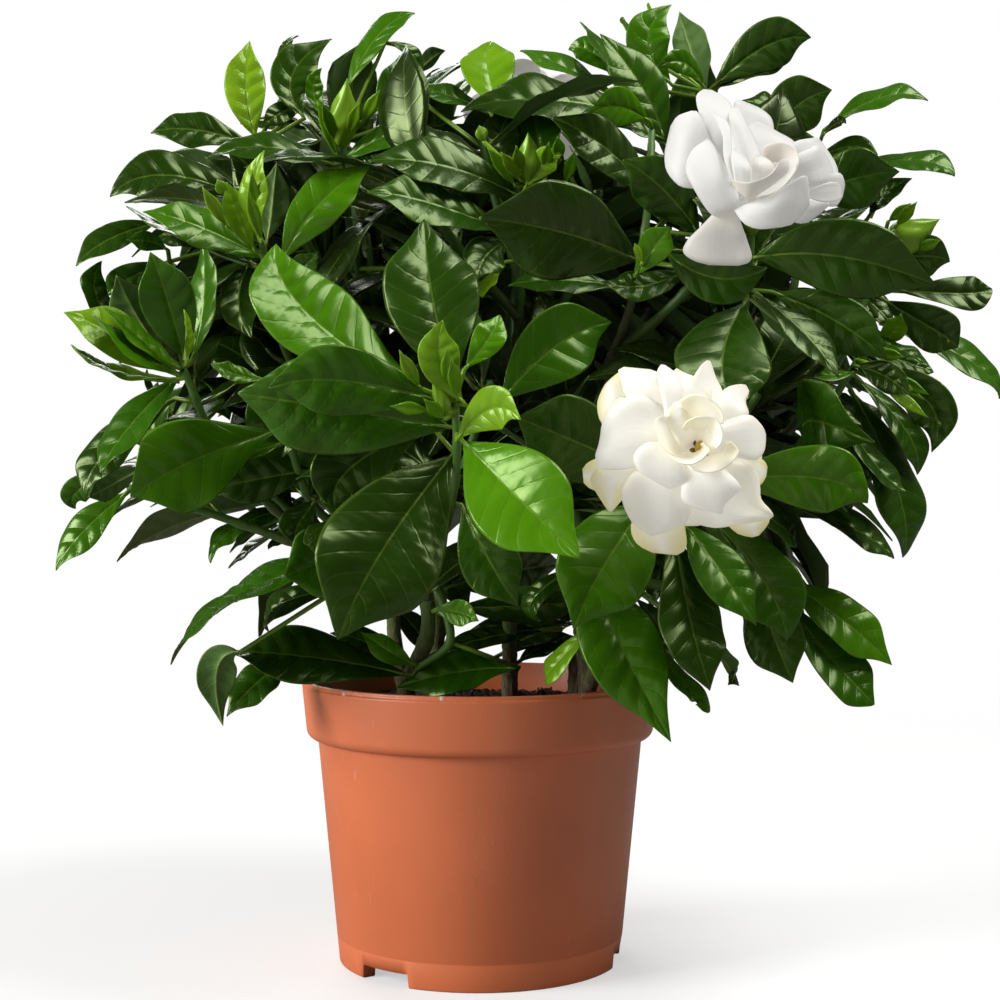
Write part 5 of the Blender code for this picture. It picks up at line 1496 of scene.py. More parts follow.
def add_drawn_petal(sheaf, core, axis, petal, rng):
    """Adds a thick waxy petal between two side curves, with its rims rolled back."""
    bulge, yellow, rooted, stations = petal
    middle = photo_position(core)[1]

    def held(x, y, depth, first):
        """A rim's point. Low petals stay up towards the viewer."""
        return point_at(x, y, first + (depth - first) * (1 - LOW_LIFT * eased(0.0, 60.0, y - middle)))

    left = [held(row[0], row[1], row[4], stations[0][4]) for row in stations]
    right = [held(row[2], row[3], row[5], stations[0][5]) for row in stations]
    if rooted:
        side = (right[0] - left[0]).normalized() * 2.2
        start = core + axis * 2.0
        left.insert(0, start - side)
        right.insert(0, start + side)
    grid = Grid(DRAWN_ROWS, DRAWN_COLUMNS)
    t, v = grid.t, grid.across
    places, a = t[:, 0], np.abs(v)
    left, right = np.array(left), np.array(right)
    steps = np.linalg.norm(np.diff(left + right, axis=0), axis=1)
    marks = np.concatenate([[0.0], np.cumsum(steps)]) / steps.sum()
    middles = through((left + right) * 0.5, marks, places)
    spans = through((right - left) * 0.5, marks, places)
    spans *= np.sqrt(1 - 0.6 * np.clip((t - 0.93) / 0.07, 0, 1) ** 2)
    half = np.linalg.norm(spans, axis=1, keepdims=True)
    view = unit(np.array(EYE) - middles)
    rise = 0.7 * bulge * half * (1 - a ** 2) * eased(0.0, 0.35, t)
    rise -= rng.uniform(0.5, 1.1) * np.maximum(a - 0.8, 0) ** 2 / 0.04 * np.minimum(1, half / 5)
    rise -= 0.9 * eased(0.88, 1.0, t) ** 2
    for sign in (-1, 1):
        wave = sum(np.sin(2 * pi * (beat * rng.uniform(0.8, 1.2) * t + rng.random())) * rng.uniform(0.3, 1.0) * size
                   for beat, size in ((1.3, 0.09), (3.1, 0.045), (6.0, 0.02)))
        rise += half * wave * np.where(v * sign > 0, a, 0) ** 3 * eased(0.3, 0.7, t)
    folds = np.sin(v * rng.uniform(2.5, 5.0) + rng.uniform(0, 2 * pi) + 1.5 * t)
    rise += 0.04 * half * folds * eased(0.1, 0.6, t) * (1 - a ** 4)
    over = middles[:, None, :] + spans[:, None, :] * v[:, None] + view[:, None, :] * rise[:, :, None]
    out = np.cross(np.gradient(over, v, axis=1), np.gradient(over, places, axis=0))
    out /= np.maximum(np.linalg.norm(out, axis=2, keepdims=True), 1e-9)
    if (out * view[:, None, :]).sum() < 0:
        over, out = over[:, ::-1], -out[:, ::-1]
    thickness = 0.65 * (1 - a ** 8) * (1 - 0.85 * eased(0.93, 1.0, t))
    sheaf.add(grid.closed(over, out * thickness[:, :, None]), sheet_faces(*grid.shape),
              place=grid.fields(t, v, grid.beneath), tint=(yellow, rng.random(), 1.0 - rooted))


class Signal:
    """A socket of a finish's nodes, in sums with numbers and other sockets."""

    def __init__(self, finish, socket):
        self.finish = finish
        self.socket = socket

    def sum(self, operation, *terms):
        """A Math node on this and other terms."""
        return self.finish.node("Math", dict(enumerate(terms)), operation=operation)

    def __add__(self, other):
        return self.sum("ADD", self, other)

    def __mul__(self, other):
        return self.sum("MULTIPLY", self, other)

    def __sub__(self, other):
        return self.sum("SUBTRACT", self, other)

    def __rsub__(self, other):
        return self.sum("SUBTRACT", other, self)

    __radd__ = __add__
    __rmul__ = __mul__

    def step(self, low, high, first=0.0, last=1.0):
        """A smooth change from first to last as this goes from low to high."""
        span = {0: self, 1: low, 2: high, 3: first, 4: last}
        return self.finish.node("MapRange", span, interpolation_type="SMOOTHSTEP")

    def sine(self):
        return self.sum("SINE", self)

    def size(self):
        return self.sum("ABSOLUTE", self)

    def parts(self):
        """The three parts of a vector."""
        node = self.finish.node("SeparateXYZ", {0: self}).socket.node
        return [Signal(self.finish, socket) for socket in node.outputs]


class Graph:
    """Nodes of a finish or of a repeated shape."""

    def __init__(self, tree):
        self.tree = tree
        self.tree.nodes.clear()

    def node(self, kind, values=(), output=0, **settings):
        """A node of a kind, with its settings, its values or links, and its output."""
        name = kind if kind.startswith(("Geometry", "Function", "Node")) else "ShaderNode" + kind
        made = self.tree.nodes.new(name)
        for key, value in settings.items():
            if key == "stops":
                self.set_stops(made.color_ramp, value)
            else:
                setattr(made, key, value)
        for key, value in dict(values).items():
            self.feed(made.inputs[key], value)
        return None if output is None else Signal(self, made.outputs[output])

    def set_stops(self, ramp, stops):
        """A ramp's (position, colour) stops."""
        while len(ramp.elements) < len(stops):
            ramp.elements.new(0.5)
        for element, (position, colour) in zip(ramp.elements, stops):
            element.position = position
            element.color = (*colour, 1.0)

    def feed(self, socket, value):
        """Links a socket or sets its value."""
        if isinstance(value, Signal):
            self.tree.links.new(value.socket, socket)
        elif socket.type == "RGBA":
            socket.default_value = (*value, 1.0)
        else:
            socket.default_value = value


class Finish(Graph):
    """A material under construction."""

    def __init__(self, name, roughness, **plain):
        self.material = bpy.data.materials.new(name)
        self.material.use_nodes = True
        super().__init__(self.material.node_tree)
        shader = self.node("BsdfPrincipled", {"Roughness": roughness, **plain})
        self.shader = shader.socket.node
        self.output = self.tree.nodes.new("ShaderNodeOutputMaterial")
        self.feed(self.output.inputs["Surface"], shader)

    def set(self, **values):
        """Feeds the shader's own sockets."""
        for key, value in values.items():
            self.feed(self.shader.inputs[key.replace("_", " ")], value)

    def mix(self, factor, a, b):
        """Colour a to colour b."""
        return self.node("Mix", {0: factor, 6: a, 7: b}, 2, data_type="RGBA")

    def ramp(self, value, *stops):
        """A colour by a value."""
        return self.node("ValToRGB", {0: value}, stops=stops)

    def field(self, name):
        """A piece's own vector field."""
        return self.node("Attribute", output="Vector", attribute_name=name)

    def place(self):
        """Object coordinates."""
        return self.node("TexCoord", output="Object")

    def stretched(self, vector, scale):
        """A vector times a scale along each axis."""
        return self.node("VectorMath", {0: vector, 1: scale}, operation="MULTIPLY")

    def noise(self, vector, scale, detail=3.0, rough=0.5):
        """Noise by a vector."""
        return self.node("TexNoise", {"Vector": vector, "Scale": scale, "Detail": detail, "Roughness": rough})

    def bump(self, height, distance, strength=1.0):
        """Sets the shader's normal from a height."""
        self.set(Normal=self.node("Bump", {"Height": height, "Distance": distance, "Strength": strength}))


def leaf_finish():
    """Glossy leaf: dark to lime by its tone, a pale midrib, lighter side veins, a pale margin painted as a highlight
    where the margins catch light, and a dull pale underside.
    """
    f = Finish("gardenia_leaf", 0.3, **{"Specular IOR Level": 0.52, "Specular Tint": (0.76, 1.0, 0.4)})
    tone, chance = f.field("tint").parts()[:2]
    t, across, vein = f.field("place").parts()
    aside, under = f.field("size").parts()[::2]
    spot = f.noise(f.place(), 60.0, 2.0)
    value = tone + (chance - 0.5) * 0.14 + (spot - 0.5) * 0.16
    green = f.ramp(value, (0.0, (0.008, 0.019, 0.0015)), (0.3, (0.021, 0.085, 0.0008)),
                   (0.6, (0.062, 0.200, 0.001)), (1.0, (0.26, 0.43, 0.015)))
    pale = f.mix(0.4, green, (0.30, 0.42, 0.08))
    ridge = (vein * pi).sine().size()
    line = ridge.step(0.0, 0.16, 0.12, 0.0)
    rib = (1 - aside.step(0.1, 0.5)) * (1 - t * 0.8)
    # The pale line along the margin is a painted highlight, where the margins catch light.
    marks = f.mix(line + across.size().step(0.9, 1.0, 0.0, 0.3), green, pale)
    marks = f.mix(rib * 0.5, marks, (0.20, 0.32, 0.04))
    dull = f.mix(0.55, marks, (0.10, 0.19, 0.05))
    lower = f.mix(rib * 0.7, dull, (0.32, 0.42, 0.14))
    f.set(Base_Color=f.mix(under, marks, lower))
    f.set(Roughness=under * 0.3 + spot * 0.12 + 0.2)
    f.bump(ridge.step(0.0, 0.3) * 0.5 + f.noise(f.place(), 260.0, 1.0) * 0.5, 0.0001)
    return f.material


def shoot_finish():
    """Young shoot: green at its head, browner with fine ridges towards its foot."""
    f = Finish("green_shoot", 0.5)
    left = f.field("place").parts()[2]
    grain = f.noise(f.stretched(f.place(), (400.0, 400.0, 90.0)), 1.0)
    age = (left * 0.011 + grain * 0.5 - 0.55).step(0.0, 0.7)
    green = f.mix(grain, (0.04, 0.12, 0.012), (0.09, 0.19, 0.02))
    f.set(Base_Color=f.mix(age, green, (0.06, 0.045, 0.02)))
    f.bump(grain, 0.0003)
    return f.material


def bark_finish():
    """Grey-brown bark with long cracks and paler ridges."""
    f = Finish("bark", 0.85)
    grain = f.noise(f.stretched(f.place(), (700.0, 700.0, 130.0)), 1.0, 6.0, 0.65)
    patch = f.noise(f.place(), 90.0)
    brown = f.ramp(grain, (0.3, (0.03, 0.018, 0.01)), (0.5, (0.13, 0.085, 0.045)), (0.72, (0.30, 0.23, 0.14)))
    z = f.place().parts()[2]
    young = (z + (patch - 0.5) * 0.05).step(0.098, 0.125)
    f.set(Base_Color=f.mix(young * 0.8 + 0.1, brown, (0.075, 0.13, 0.02)))
    f.bump(grain, 0.0012)
    return f.material


def petal_finish(name, body, rim, glow):
    """Waxy petal: its body, and a rim and back of another cream that also turns its root and the heart's inner petals
    darker, partly as painted shade. It has a painted glow of its own colour that stands in for light through and
    between the petals.
    """
    # Emission Strength is painted light: the petals glow though they are no lamp, which lifts their shaded sides.
    f = Finish(name, 0.5, **{"Emission Strength": glow, "Specular IOR Level": 0.35})
    t, across = f.field("place").parts()[:2]
    yellow, inner = f.field("tint").parts()[::2]
    cloud = f.noise(f.place(), 45.0)
    edge = (across.size() * 0.45 + t * 0.8 + (cloud - 0.5) * 0.4).step(0.62, 1.2)
    # Towards the root and on the heart's inner petals the body turns to a darker cream: partly the petal's own cream,
    # partly painted shade deep in the bloom.
    base = f.mix((1 - t).step(0.3, 1.0) * 0.6 + inner * 0.22, body, tuple(0.5 * (a + b) for a, b in zip(body, rim)))
    skin_and_painted_glow = f.mix(edge * yellow, base, rim)
    # The skin colour is also the colour of the painted glow.
    f.set(Base_Color=skin_and_painted_glow, Emission_Color=skin_and_painted_glow)
    streaks = f.noise(f.stretched(f.field("place"), (1.5, 7.0, 1.0)), 1.0, 1.0)
    f.bump(streaks * 0.6 + f.noise(f.place(), 90.0, 1.0) * 0.4, 0.00012)
    return f.material


def pot_finish(base, top):
    """Satin terracotta-coloured plastic: faint flow marks, scuffs, and lime specks on its rim."""
    f = Finish("terracotta_plastic", 0.42, **{"Specular IOR Level": 0.6})
    z = f.place().parts()[2]
    flow = f.noise(f.stretched(f.place(), (30.0, 30.0, 4.0)), 1.0)
    speckle = f.noise(f.place(), 900.0, 2.0)
    cloud = f.noise(f.place(), 22.0)
    body = f.mix(cloud.step(0.3, 0.7), base, tuple(0.9 * c for c in base))
    body = f.mix(flow.step(0.55, 0.8) * 0.3, body, (0.62, 0.27, 0.16))
    near_rim = z.step(top - 0.003, top - 0.0008)
    crust = near_rim * f.noise(f.place(), 420.0, 4.0).step(0.62, 0.68) * f.noise(f.place(), 60.0).step(0.45, 0.6)
    body = f.mix(crust * 0.85, body, (0.72, 0.66, 0.58))
    scratch = f.noise(f.stretched(f.place(), (500.0, 500.0, 60.0)), 1.0, 4.0).step(0.66, 0.72)
    scuff = scratch * f.noise(f.place(), 35.0).step(0.5, 0.62)
    f.set(Base_Color=f.mix(scuff * 0.35, body, (0.68, 0.36, 0.25)))
    f.set(Roughness=speckle * 0.1 + scuff * 0.2 + crust * 0.3 + 0.38)
    f.bump(speckle * 0.5 + flow * 0.5 + crust * 2.0, 0.00015)
    return f.material


def soil_finish(name, dark, warm):
    """Damp peat: near black, with warmer fibres."""
    f = Finish(name, 0.9)
    grain = f.noise(f.place(), 380.0, 6.0, 0.7)
    f.set(Base_Color=f.ramp(grain, (0.35, dark), (0.6, tuple(0.5 * (a + b) for a, b in zip(dark, warm))), (0.75, warm)))
    f.bump(grain, 0.002)
    return f.material


def plain_finish(name, colour, roughness, mark):
    """Matte plant tissue with a mottled tint."""
    f = Finish(name, roughness)
    mottle = f.noise(f.place(), 700.0, 3.0)
    f.set(Base_Color=f.mix(mottle.step(0.35, 0.7), colour, mark))
    f.bump(mottle, 0.0004)
    return f.material


def floor_finish(colour):
    """White sweep: a lit floor near the pot that runs out into plain white."""
    f = Finish("floor", 0.9)
    seen = f.node("LightPath", output="Is Camera Ray")
    f.set(Base_Color=f.mix(seen, tuple(0.3 * part for part in colour), colour))
    far = f.node("VectorMath", {0: f.place()}, "Value", operation="LENGTH").step(0.15, 1.0, 0.5, 1.0)
    glow = f.node("Emission", {"Color": (1.0, 1.0, 1.0), "Strength": 1.0})
    shader = Signal(f, f.shader.outputs[0])
    f.feed(f.output.inputs["Surface"], f.node("MixShader", {0: far * seen, 1: shader, 2: glow}))
    return f.material


POT_ANGLES = 144


def pot_rings():
    """The pot's whole profile from its rim down its outer side, and back up inside."""
    lip = [(LIP_RADIUS - RIM_INSET, POT_HEIGHT), (LIP_RADIUS - RIM_INSET, POT_HEIGHT - RIM_BEAD),
           (LIP_RADIUS, POT_HEIGHT - RIM_BEAD - RIM_INSET)]
    turn = [(LIP_FOOT_RADIUS - LIP_CORNER * (1 - cos(a)), LIP_BOTTOM + LIP_CORNER * (1 - sin(a)))
            for a in np.linspace(0.0, 0.5 * pi, 7)]
    slope = (WALL_TOP_RADIUS - BASE_RADIUS) / LIP_BOTTOM
    ring = [(BASE_RADIUS + slope * z - d, z) for z, d in ((9.9, 0), (9.65, 0.1), (9.4, 0))]
    foot = [(BASE_RADIUS, 0.0), (BASE_RADIUS - FOOT_WIDTH, 0.0), (BASE_RADIUS - FOOT_WIDTH, FOOT_HEIGHT),
            (0.0, FOOT_HEIGHT), (0.0, FLOOR_TOP)]
    inside = [(BASE_RADIUS + slope * FLOOR_TOP - WALL, FLOOR_TOP), (WALL_TOP_RADIUS - WALL, LIP_BOTTOM + WALL),
              (LIP_FOOT_RADIUS - WALL, LIP_BOTTOM + 2 * WALL), (LIP_RADIUS - RIM_INSET - WALL, POT_HEIGHT)]
    profile = lip + turn + [(WALL_TOP_RADIUS, LIP_BOTTOM)] + ring + foot + inside
    soft = {0: 0.5, 1: 0.4, 2: 0.5, len(lip + turn): 0.8, len(lip + turn) + 4: 0.7, len(lip + turn) + 5: 0.5,
            len(profile) - 1: 0.5}
    return rounded(profile, soft)


def pot_angles():
    """Angles of the pot's columns, with a pair at each side of each notch."""
    sides = []
    for middle in NOTCH_ANGLES:
        for side in (-1, 1):
            edge = radians(middle + 0.5 * side * NOTCH_SPAN) % (2 * pi)
            sides += [(edge - 0.004) % (2 * pi), (edge + 0.004) % (2 * pi)]
    plain = [2 * pi * k / POT_ANGLES for k in range(POT_ANGLES)]
    return sorted(sides + [a for a in plain if min(abs(a - s) for s in sides) > 0.012])


def in_notch(angle):
    """Whether an angle lies in one of the foot ring's notches."""
    return any(abs((angle - radians(middle) + pi) % (2 * pi) - pi) < radians(0.5 * NOTCH_SPAN)
               for middle in NOTCH_ANGLES)


def make_pot():
    """The pot as one turned shell, with the foot ring raised at its notches."""
    profile = pot_rings()
    angles = pot_angles()
    corners, faces = turned_corners(profile, angles)
    corners = [list(corner) for corner in corners]
    for k, angle in enumerate(angles):
        if in_notch(angle):
            for i, (r, z) in enumerate(profile):
                if z < NOTCH_HEIGHT and r > BASE_RADIUS - FOOT_WIDTH - 1:
                    corners[k * len(profile) + i][2] = NOTCH_HEIGHT + 0.02 * z
    mesh = mesh_of("flower_pot", corners, faces)
    work = bmesh.new()
    work.from_mesh(mesh)
    bmesh.ops.remove_doubles(work, verts=work.verts, dist=0.000001)
    bmesh.ops.delete(work, geom=[edge for edge in work.edges if edge.is_wire], context="EDGES")
    bmesh.ops.recalc_face_normals(work, faces=work.faces)
    work.to_mesh(mesh)
    work.free()
    mesh.materials.append(pot_finish(tuple(settings().pot_colour), POT_HEIGHT * MM))
    return linked("flower_pot", mesh)


# Twigs and leaves that fill the plant (mm)
FILL_MIDDLE = Vector((15.0, 4.0, 226.0))
FILL_REACH = Vector((128.0, 104.0, 86.0))
FILL_FRONT = -75.0
FILL_LEAF_FRONT = -95.0
FILL_HEADS = 84
FILL_LEAVES = 8
INNER_LEAVES = 10
FILL_TRIES = 24


class FullPlanting(Planting):
    """The plant with the twigs and leaves that fill it between, beside and behind those shown."""

    def __init__(self):
        super().__init__()
        self.rng = Random(SEEDS["fill"])
        self.fill_ways = []
        for rank in range(FILL_HEADS):
            self.add_twig(rank)
        for ways in self.ways.values():
            for way in ways.values():
                self.add_fill(way, INNER_LEAVES, len(way) - ROOT_SKIP, (40, 115))

    def add_twig(self, rank):
        """A twig from the nearest shoot to a place that few leaves fill, with whorls of leaves."""
        rng = self.rng
        ways = [way for stem in self.ways.values() for way in stem.values()]
        for tries in range(FILL_TRIES):
            turn = 2 * pi * (rank * 0.618 + 0.02 * tries) + rng.uniform(-0.2, 0.2)
            level = rng.uniform(-0.75, 0.95)
            flat = sqrt(1 - level * level)
            reach = rng.uniform(0.55, 0.98)
            head = FILL_MIDDLE + Vector((cos(turn) * flat * FILL_REACH.x, sin(turn) * flat * FILL_REACH.y,
                                         level * FILL_REACH.z)) * reach
            if head.y < FILL_FRONT or not inside_outline(*photo_position(head)):
                continue
            low = Vector((head.x * 0.6, head.y * 0.6, head.z - 40))
            root = nearest_on(ways, low)
            way = smooth_way([root, root.lerp(head, 0.5) - Vector((0, 0, 0.06 * (head - root).length)), head])
            if len(way) < 6:
                continue
            shell = tube_shell(way[2:], [HEAD_RADIUS] * (len(way) - 2))
            if crossed(taken_space(shell), [space for spaces in self.taken.values() for space in spaces]):
                continue
            self.fill_ways.append(way)
            self.taken["fill"].append(taken_space(shell))
            self.add_fill(way, FILL_LEAVES, len(way) * 0.55, (20, 105))
            return

    def add_fill(self, way, count, run, tilts):
        """Adds leaves by rule where they cross none."""
        rng = self.rng

        def draw(added):
            place = len(way) - 1 - int(rng.random() ** 1.4 * run)
            tilt = radians(rng.uniform(*tilts))
            blade = rule_leaf(way, place, rng.uniform(0, 2 * pi), tilt, rng.uniform(42, 68), rng)
            return blade if blade.tip.y > max(blade.root.y - 30, FILL_LEAF_FRONT) else None

        self.add_drawn("fill", count, FILL_TRIES, draw)


class Repeat(Graph):
    """Geometry nodes of a repeated shape, with named inputs."""

    def __init__(self, name):
        super().__init__(bpy.data.node_groups.new(name, "GeometryNodeTree"))
        self.tree.interface.new_socket("Geometry", in_out="OUTPUT", socket_type="NodeSocketGeometry")
        self.tree.interface.new_socket("Geometry", in_out="INPUT", socket_type="NodeSocketGeometry")
        self.inlets = {}

    def inlet(self, name, kind, value=None):
        """A named input of the tree, with its default."""
        socket = self.tree.interface.new_socket(name, in_out="INPUT", socket_type="NodeSocket" + kind)
        if value is not None:
            socket.default_value = value
        self.inlets[name] = socket.identifier

    def open(self):
        """The inputs as signals by name."""
        start = self.tree.nodes.new("NodeGroupInput")
        return {socket.name: Signal(self, socket) for socket in start.outputs if socket.name}

    def end(self, points, shape, turn, scale, finish):
        """Sets the shape out on the points, realises it and gives it its finish."""
        rotation = self.node("FunctionNodeEulerToRotation", {0: turn})
        shapes = self.node("GeometryNodeInstanceOnPoints",
                           {"Points": points, "Instance": shape, "Rotation": rotation, "Scale": scale})
        whole = self.node("GeometryNodeRealizeInstances", {0: shapes})
        dressed = self.node("GeometryNodeSetMaterial", {"Geometry": whole, "Material": finish})
        self.node("NodeGroupOutput", {0: dressed}, output=None)

    def grow(self, source, name, **values):
        """Runs the tree on a source object, and leaves a plain piece in its place."""
        modifier = source.modifiers.new(name, "NODES")
        modifier.node_group = self.tree
        for key, value in values.items():
            modifier[self.inlets[key.replace("_", " ")]] = value
        bpy.context.view_layer.update()
        evaluated = source.evaluated_get(bpy.context.evaluated_depsgraph_get())
        mesh = bpy.data.meshes.new_from_object(evaluated)
        bpy.data.objects.remove(source)
        mesh.name = name
        return linked(name, mesh)


PATTERN_LENGTH = 60.0
PATTERN_WIDTH = 25.0


def leaf_pattern(rng):
    """A leaf along +X at the origin, for the leaves deep in the plant."""
    points = (-5, 0, -1), (0, 0, 0), (30, 0, 4.5), (PATTERN_LENGTH, 0, -3), (0, 0, 1)
    blade = Blade(*map(Vector, points), PATTERN_WIDTH)
    sheaf = Sheaf()
    corners, faces, fields = leaf_shell(blade, rng, FILL_ROWS, FILL_COLUMNS)
    sheaf.add(corners, faces, **fields)
    sheaf.add(*tube_shell([blade.root, blade.foot, blade.centre(0.1)], (0.9, 0.8, 0.3), 5),
              place=(0, 0, 0.5), size=(0, 1, 0))
    return sheaf


def fill_points(blades, rng):
    """One point for each leaf: where it starts, how it turns, its scale and its tint, which is darkened as painted
    shade.
    """
    sheaf = Sheaf()
    for blade in blades:
        along = (blade.tip - blade.foot).normalized()
        up = square_to(blade.up, along)
        frame_of = Matrix((along, up.cross(along), up)).transposed()
        scale = (blade.tip - blade.foot).length / PATTERN_LENGTH
        stretch = scale, blade.width / PATTERN_WIDTH, scale
        # Painted shade: these leaves deep in the plant all get tone 0, darker than the plant's own dark leaves, for the
        # dark inside of the plant.
        tint = blade.tone * 0.3, rng.random(), 1.0
        sheaf.add([blade.foot], [], turn=tuple(frame_of.to_euler()), stretch=stretch, tint=tint)
    return sheaf


# Lobes of buds and of the cup under a bloom
LOBE_ROWS = 10
LOBE_WIDTH = 4.2
CALYX_LOBES = 6
CALYX_WIDTH = 2.6

# How bright a leaf of each tone is, from 0 dark to 1 lime
TONES = {0: 0.12, 1: 0.36, 2: 0.58, 3: 0.78, 4: 0.1}


def lobes_of(name):
    """The narrow lobes of the buds and the youngest leaves of a leafy stem, from their photo rows."""
    blades = []
    ways = plan().ways[name].values()
    for shoot in LEAFY_STEMS.get(name, {}).values():
        for *marks, tip_depth, foot_depth in shoot["lobes"]:
            tip, foot = point_at(*marks[:2], tip_depth), point_at(*marks[2:], foot_depth)
            up = square_to(EYE - foot, (tip - foot).normalized())
            middle = foot.lerp(tip, 0.5) + up * 0.8
            blades.append(Blade(nearest_on(ways, foot), foot, middle, tip, up, LOBE_WIDTH))
    return blades


def add_calyx(sheaf, foot, tip, rng):
    """Adds the green cup under a bloom: a ribbed tube with narrow lobes."""
    add_bud(sheaf, foot, foot, tip, CUP_RADIUS, rng)
    along = (tip - foot).normalized()
    for k in range(CALYX_LOBES):
        out = turned(square_to(Vector((0.9, 0.3, 0.2)), along), along, 2 * pi * k / CALYX_LOBES)
        start = foot.lerp(tip, 0.4) + out * CUP_RADIUS * 0.8
        end = start + along * 9.0 + out * rng.uniform(3.0, 6.0)
        middle = start.lerp(end, 0.5) + out * 0.5
        blade = Blade(start - along * 2.0, start, middle, end, out, CALYX_WIDTH)
        add_leaf(sheaf, blade, rng, 0.7, LOBE_ROWS, FILL_COLUMNS)


# Grid of the root ball's top
SOIL_RINGS = 46
SOIL_STEPS = 90
BUMPS = 90


def make_root_ball():
    """The root ball, with an uneven crumbly top."""
    slope = (WALL_TOP_RADIUS - BASE_RADIUS) / LIP_BOTTOM
    corners = [(0.0, 0.0, SOIL_TOP)]
    rng = Random(SEEDS["soil"])
    bumps = [[rng.uniform(*span) for span in ((-55, 55), (-55, 55), (4, 12), (-1.2, 1.6))] for k in range(BUMPS)]
    brim = LIP_FOOT_RADIUS - WALL - 0.4
    compass = [(cos(2 * pi * k / SOIL_STEPS), sin(2 * pi * k / SOIL_STEPS)) for k in range(SOIL_STEPS)]
    for i in range(1, SOIL_RINGS + 1):
        r = brim * i / SOIL_RINGS
        for c, s in compass:
            x, y = r * c, r * s
            lift = sum(h * max(0.0, 1 - ((x - cx) ** 2 + (y - cy) ** 2) / (w * w)) ** 2 for cx, cy, w, h in bumps)
            corners.append((x, y, SOIL_TOP + lift - 1.5 * (i / SOIL_RINGS) ** 6))
    side = BASE_RADIUS + slope * SOIL_TOP * 0.9 - WALL - 1.5
    for r, z in ((side, SOIL_TOP - 12.0), (BASE_RADIUS - WALL - 0.3, FLOOR_TOP + GAP)):
        corners += [(r * c, r * s, z) for c, s in compass]
    faces = [(0, 1 + k, 1 + (k + 1) % SOIL_STEPS) for k in range(SOIL_STEPS)]
    for i in range(SOIL_RINGS + 1):
        for k in range(SOIL_STEPS):
            a, b = 1 + i * SOIL_STEPS + k, 1 + i * SOIL_STEPS + (k + 1) % SOIL_STEPS
            faces.append((a, a + SOIL_STEPS, b + SOIL_STEPS, b))
    last = 1 + (SOIL_RINGS + 1) * SOIL_STEPS
    faces.append(tuple(last + k for k in reversed(range(SOIL_STEPS))))
    return linked("root_ball", mesh_of("root_ball", corners, faces))


def make_crumbs(ball, density, size):
    """Crumbs of bark and peat that lie on the root ball's top."""
    tree = Repeat("crumbs")
    tree.inlet("Density", "Float", 1000.0)
    tree.inlet("Size", "Float", 0.002)
    tree.inlet("Finish", "Material")
    put = tree.open()
    normal = tree.node("GeometryNodeInputNormal")
    facing = tree.node("SeparateXYZ", {0: normal}, output="Z")
    flat = tree.node("FunctionNodeCompare", {0: facing, 1: 0.5}, operation="GREATER_THAN")
    points = tree.node("GeometryNodeDistributePointsOnFaces",
                       {"Mesh": put["Geometry"], "Selection": flat, "Density": put["Density"], "Seed": 4})
    crumb = tree.node("GeometryNodeMeshIcoSphere", {"Radius": 1.0, "Subdivisions": 1})
    turns = {0: (0.0, 0.0, 0.0), 1: (6.3, 6.3, 6.3), "Seed": 1}
    turn = tree.node("FunctionNodeRandomValue", turns, data_type="FLOAT_VECTOR")
    least = tree.node("VectorMath", {0: (0.16, 0.12, 0.1), "Scale": put["Size"]}, operation="SCALE")
    most = tree.node("VectorMath", {0: (1.0, 0.6, 0.45), "Scale": put["Size"]}, operation="SCALE")
    scale = tree.node("FunctionNodeRandomValue", {0: least, 1: most, "Seed": 2}, data_type="FLOAT_VECTOR")
    tree.end(points, crumb, turn, scale, put["Finish"])
    warm = soil_finish("bark_crumb", (0.012, 0.007, 0.005), (0.16, 0.07, 0.035))
    copy = linked("soil_crumbs", ball.data.copy())
    return tree.grow(copy, "soil_crumbs", Density=density, Size=size, Finish=warm)


def make_style():
    """The cream bloom's yellow stigma and its brown anthers."""
    core, axis = plan().blooms["cream"][:2]
    rng = Random(SEEDS["style"])
    foot = core + axis * (HEART_LENGTH - 4.0)
    tip = core + axis * (HEART_LENGTH + GAP + STYLE_LENGTH)
    style, anthers = Sheaf(), Sheaf()
    run = [foot.lerp(tip, k / 12) for k in range(13)]
    radii = [1.1] * 7 + [1.3, 1.7, 2.0, 2.1, 1.8, 0.8]
    add_tube(style, run, radii, rng, 14)
    for rank in range(ANTHERS):
        out = turned(square_to(Vector((1.0, 0.0, 0.2)), axis), axis, 2 * pi * rank / ANTHERS)
        start = foot.lerp(tip, 0.45) + out * 1.2
        end = start + axis * 5.0 + out * rng.uniform(1.6, 3.2)
        run = [start.lerp(end, k / 6) + axis * (0.6 * sin(pi * k / 6)) for k in range(7)]
        add_tube(anthers, run, (0.35, 0.6, 0.75, 0.75, 0.65, 0.5, 0.2), rng, 8)
    yellow = plain_finish("stigma", (0.62, 0.47, 0.08), 0.6, (0.45, 0.26, 0.04))
    brown = plain_finish("anther", (0.20, 0.11, 0.03), 0.7, (0.34, 0.20, 0.05))
    style.piece("stigma", yellow, "bloom_centre", ["bloom_centre"])
    anthers.piece("anthers", brown, "bloom_centre")


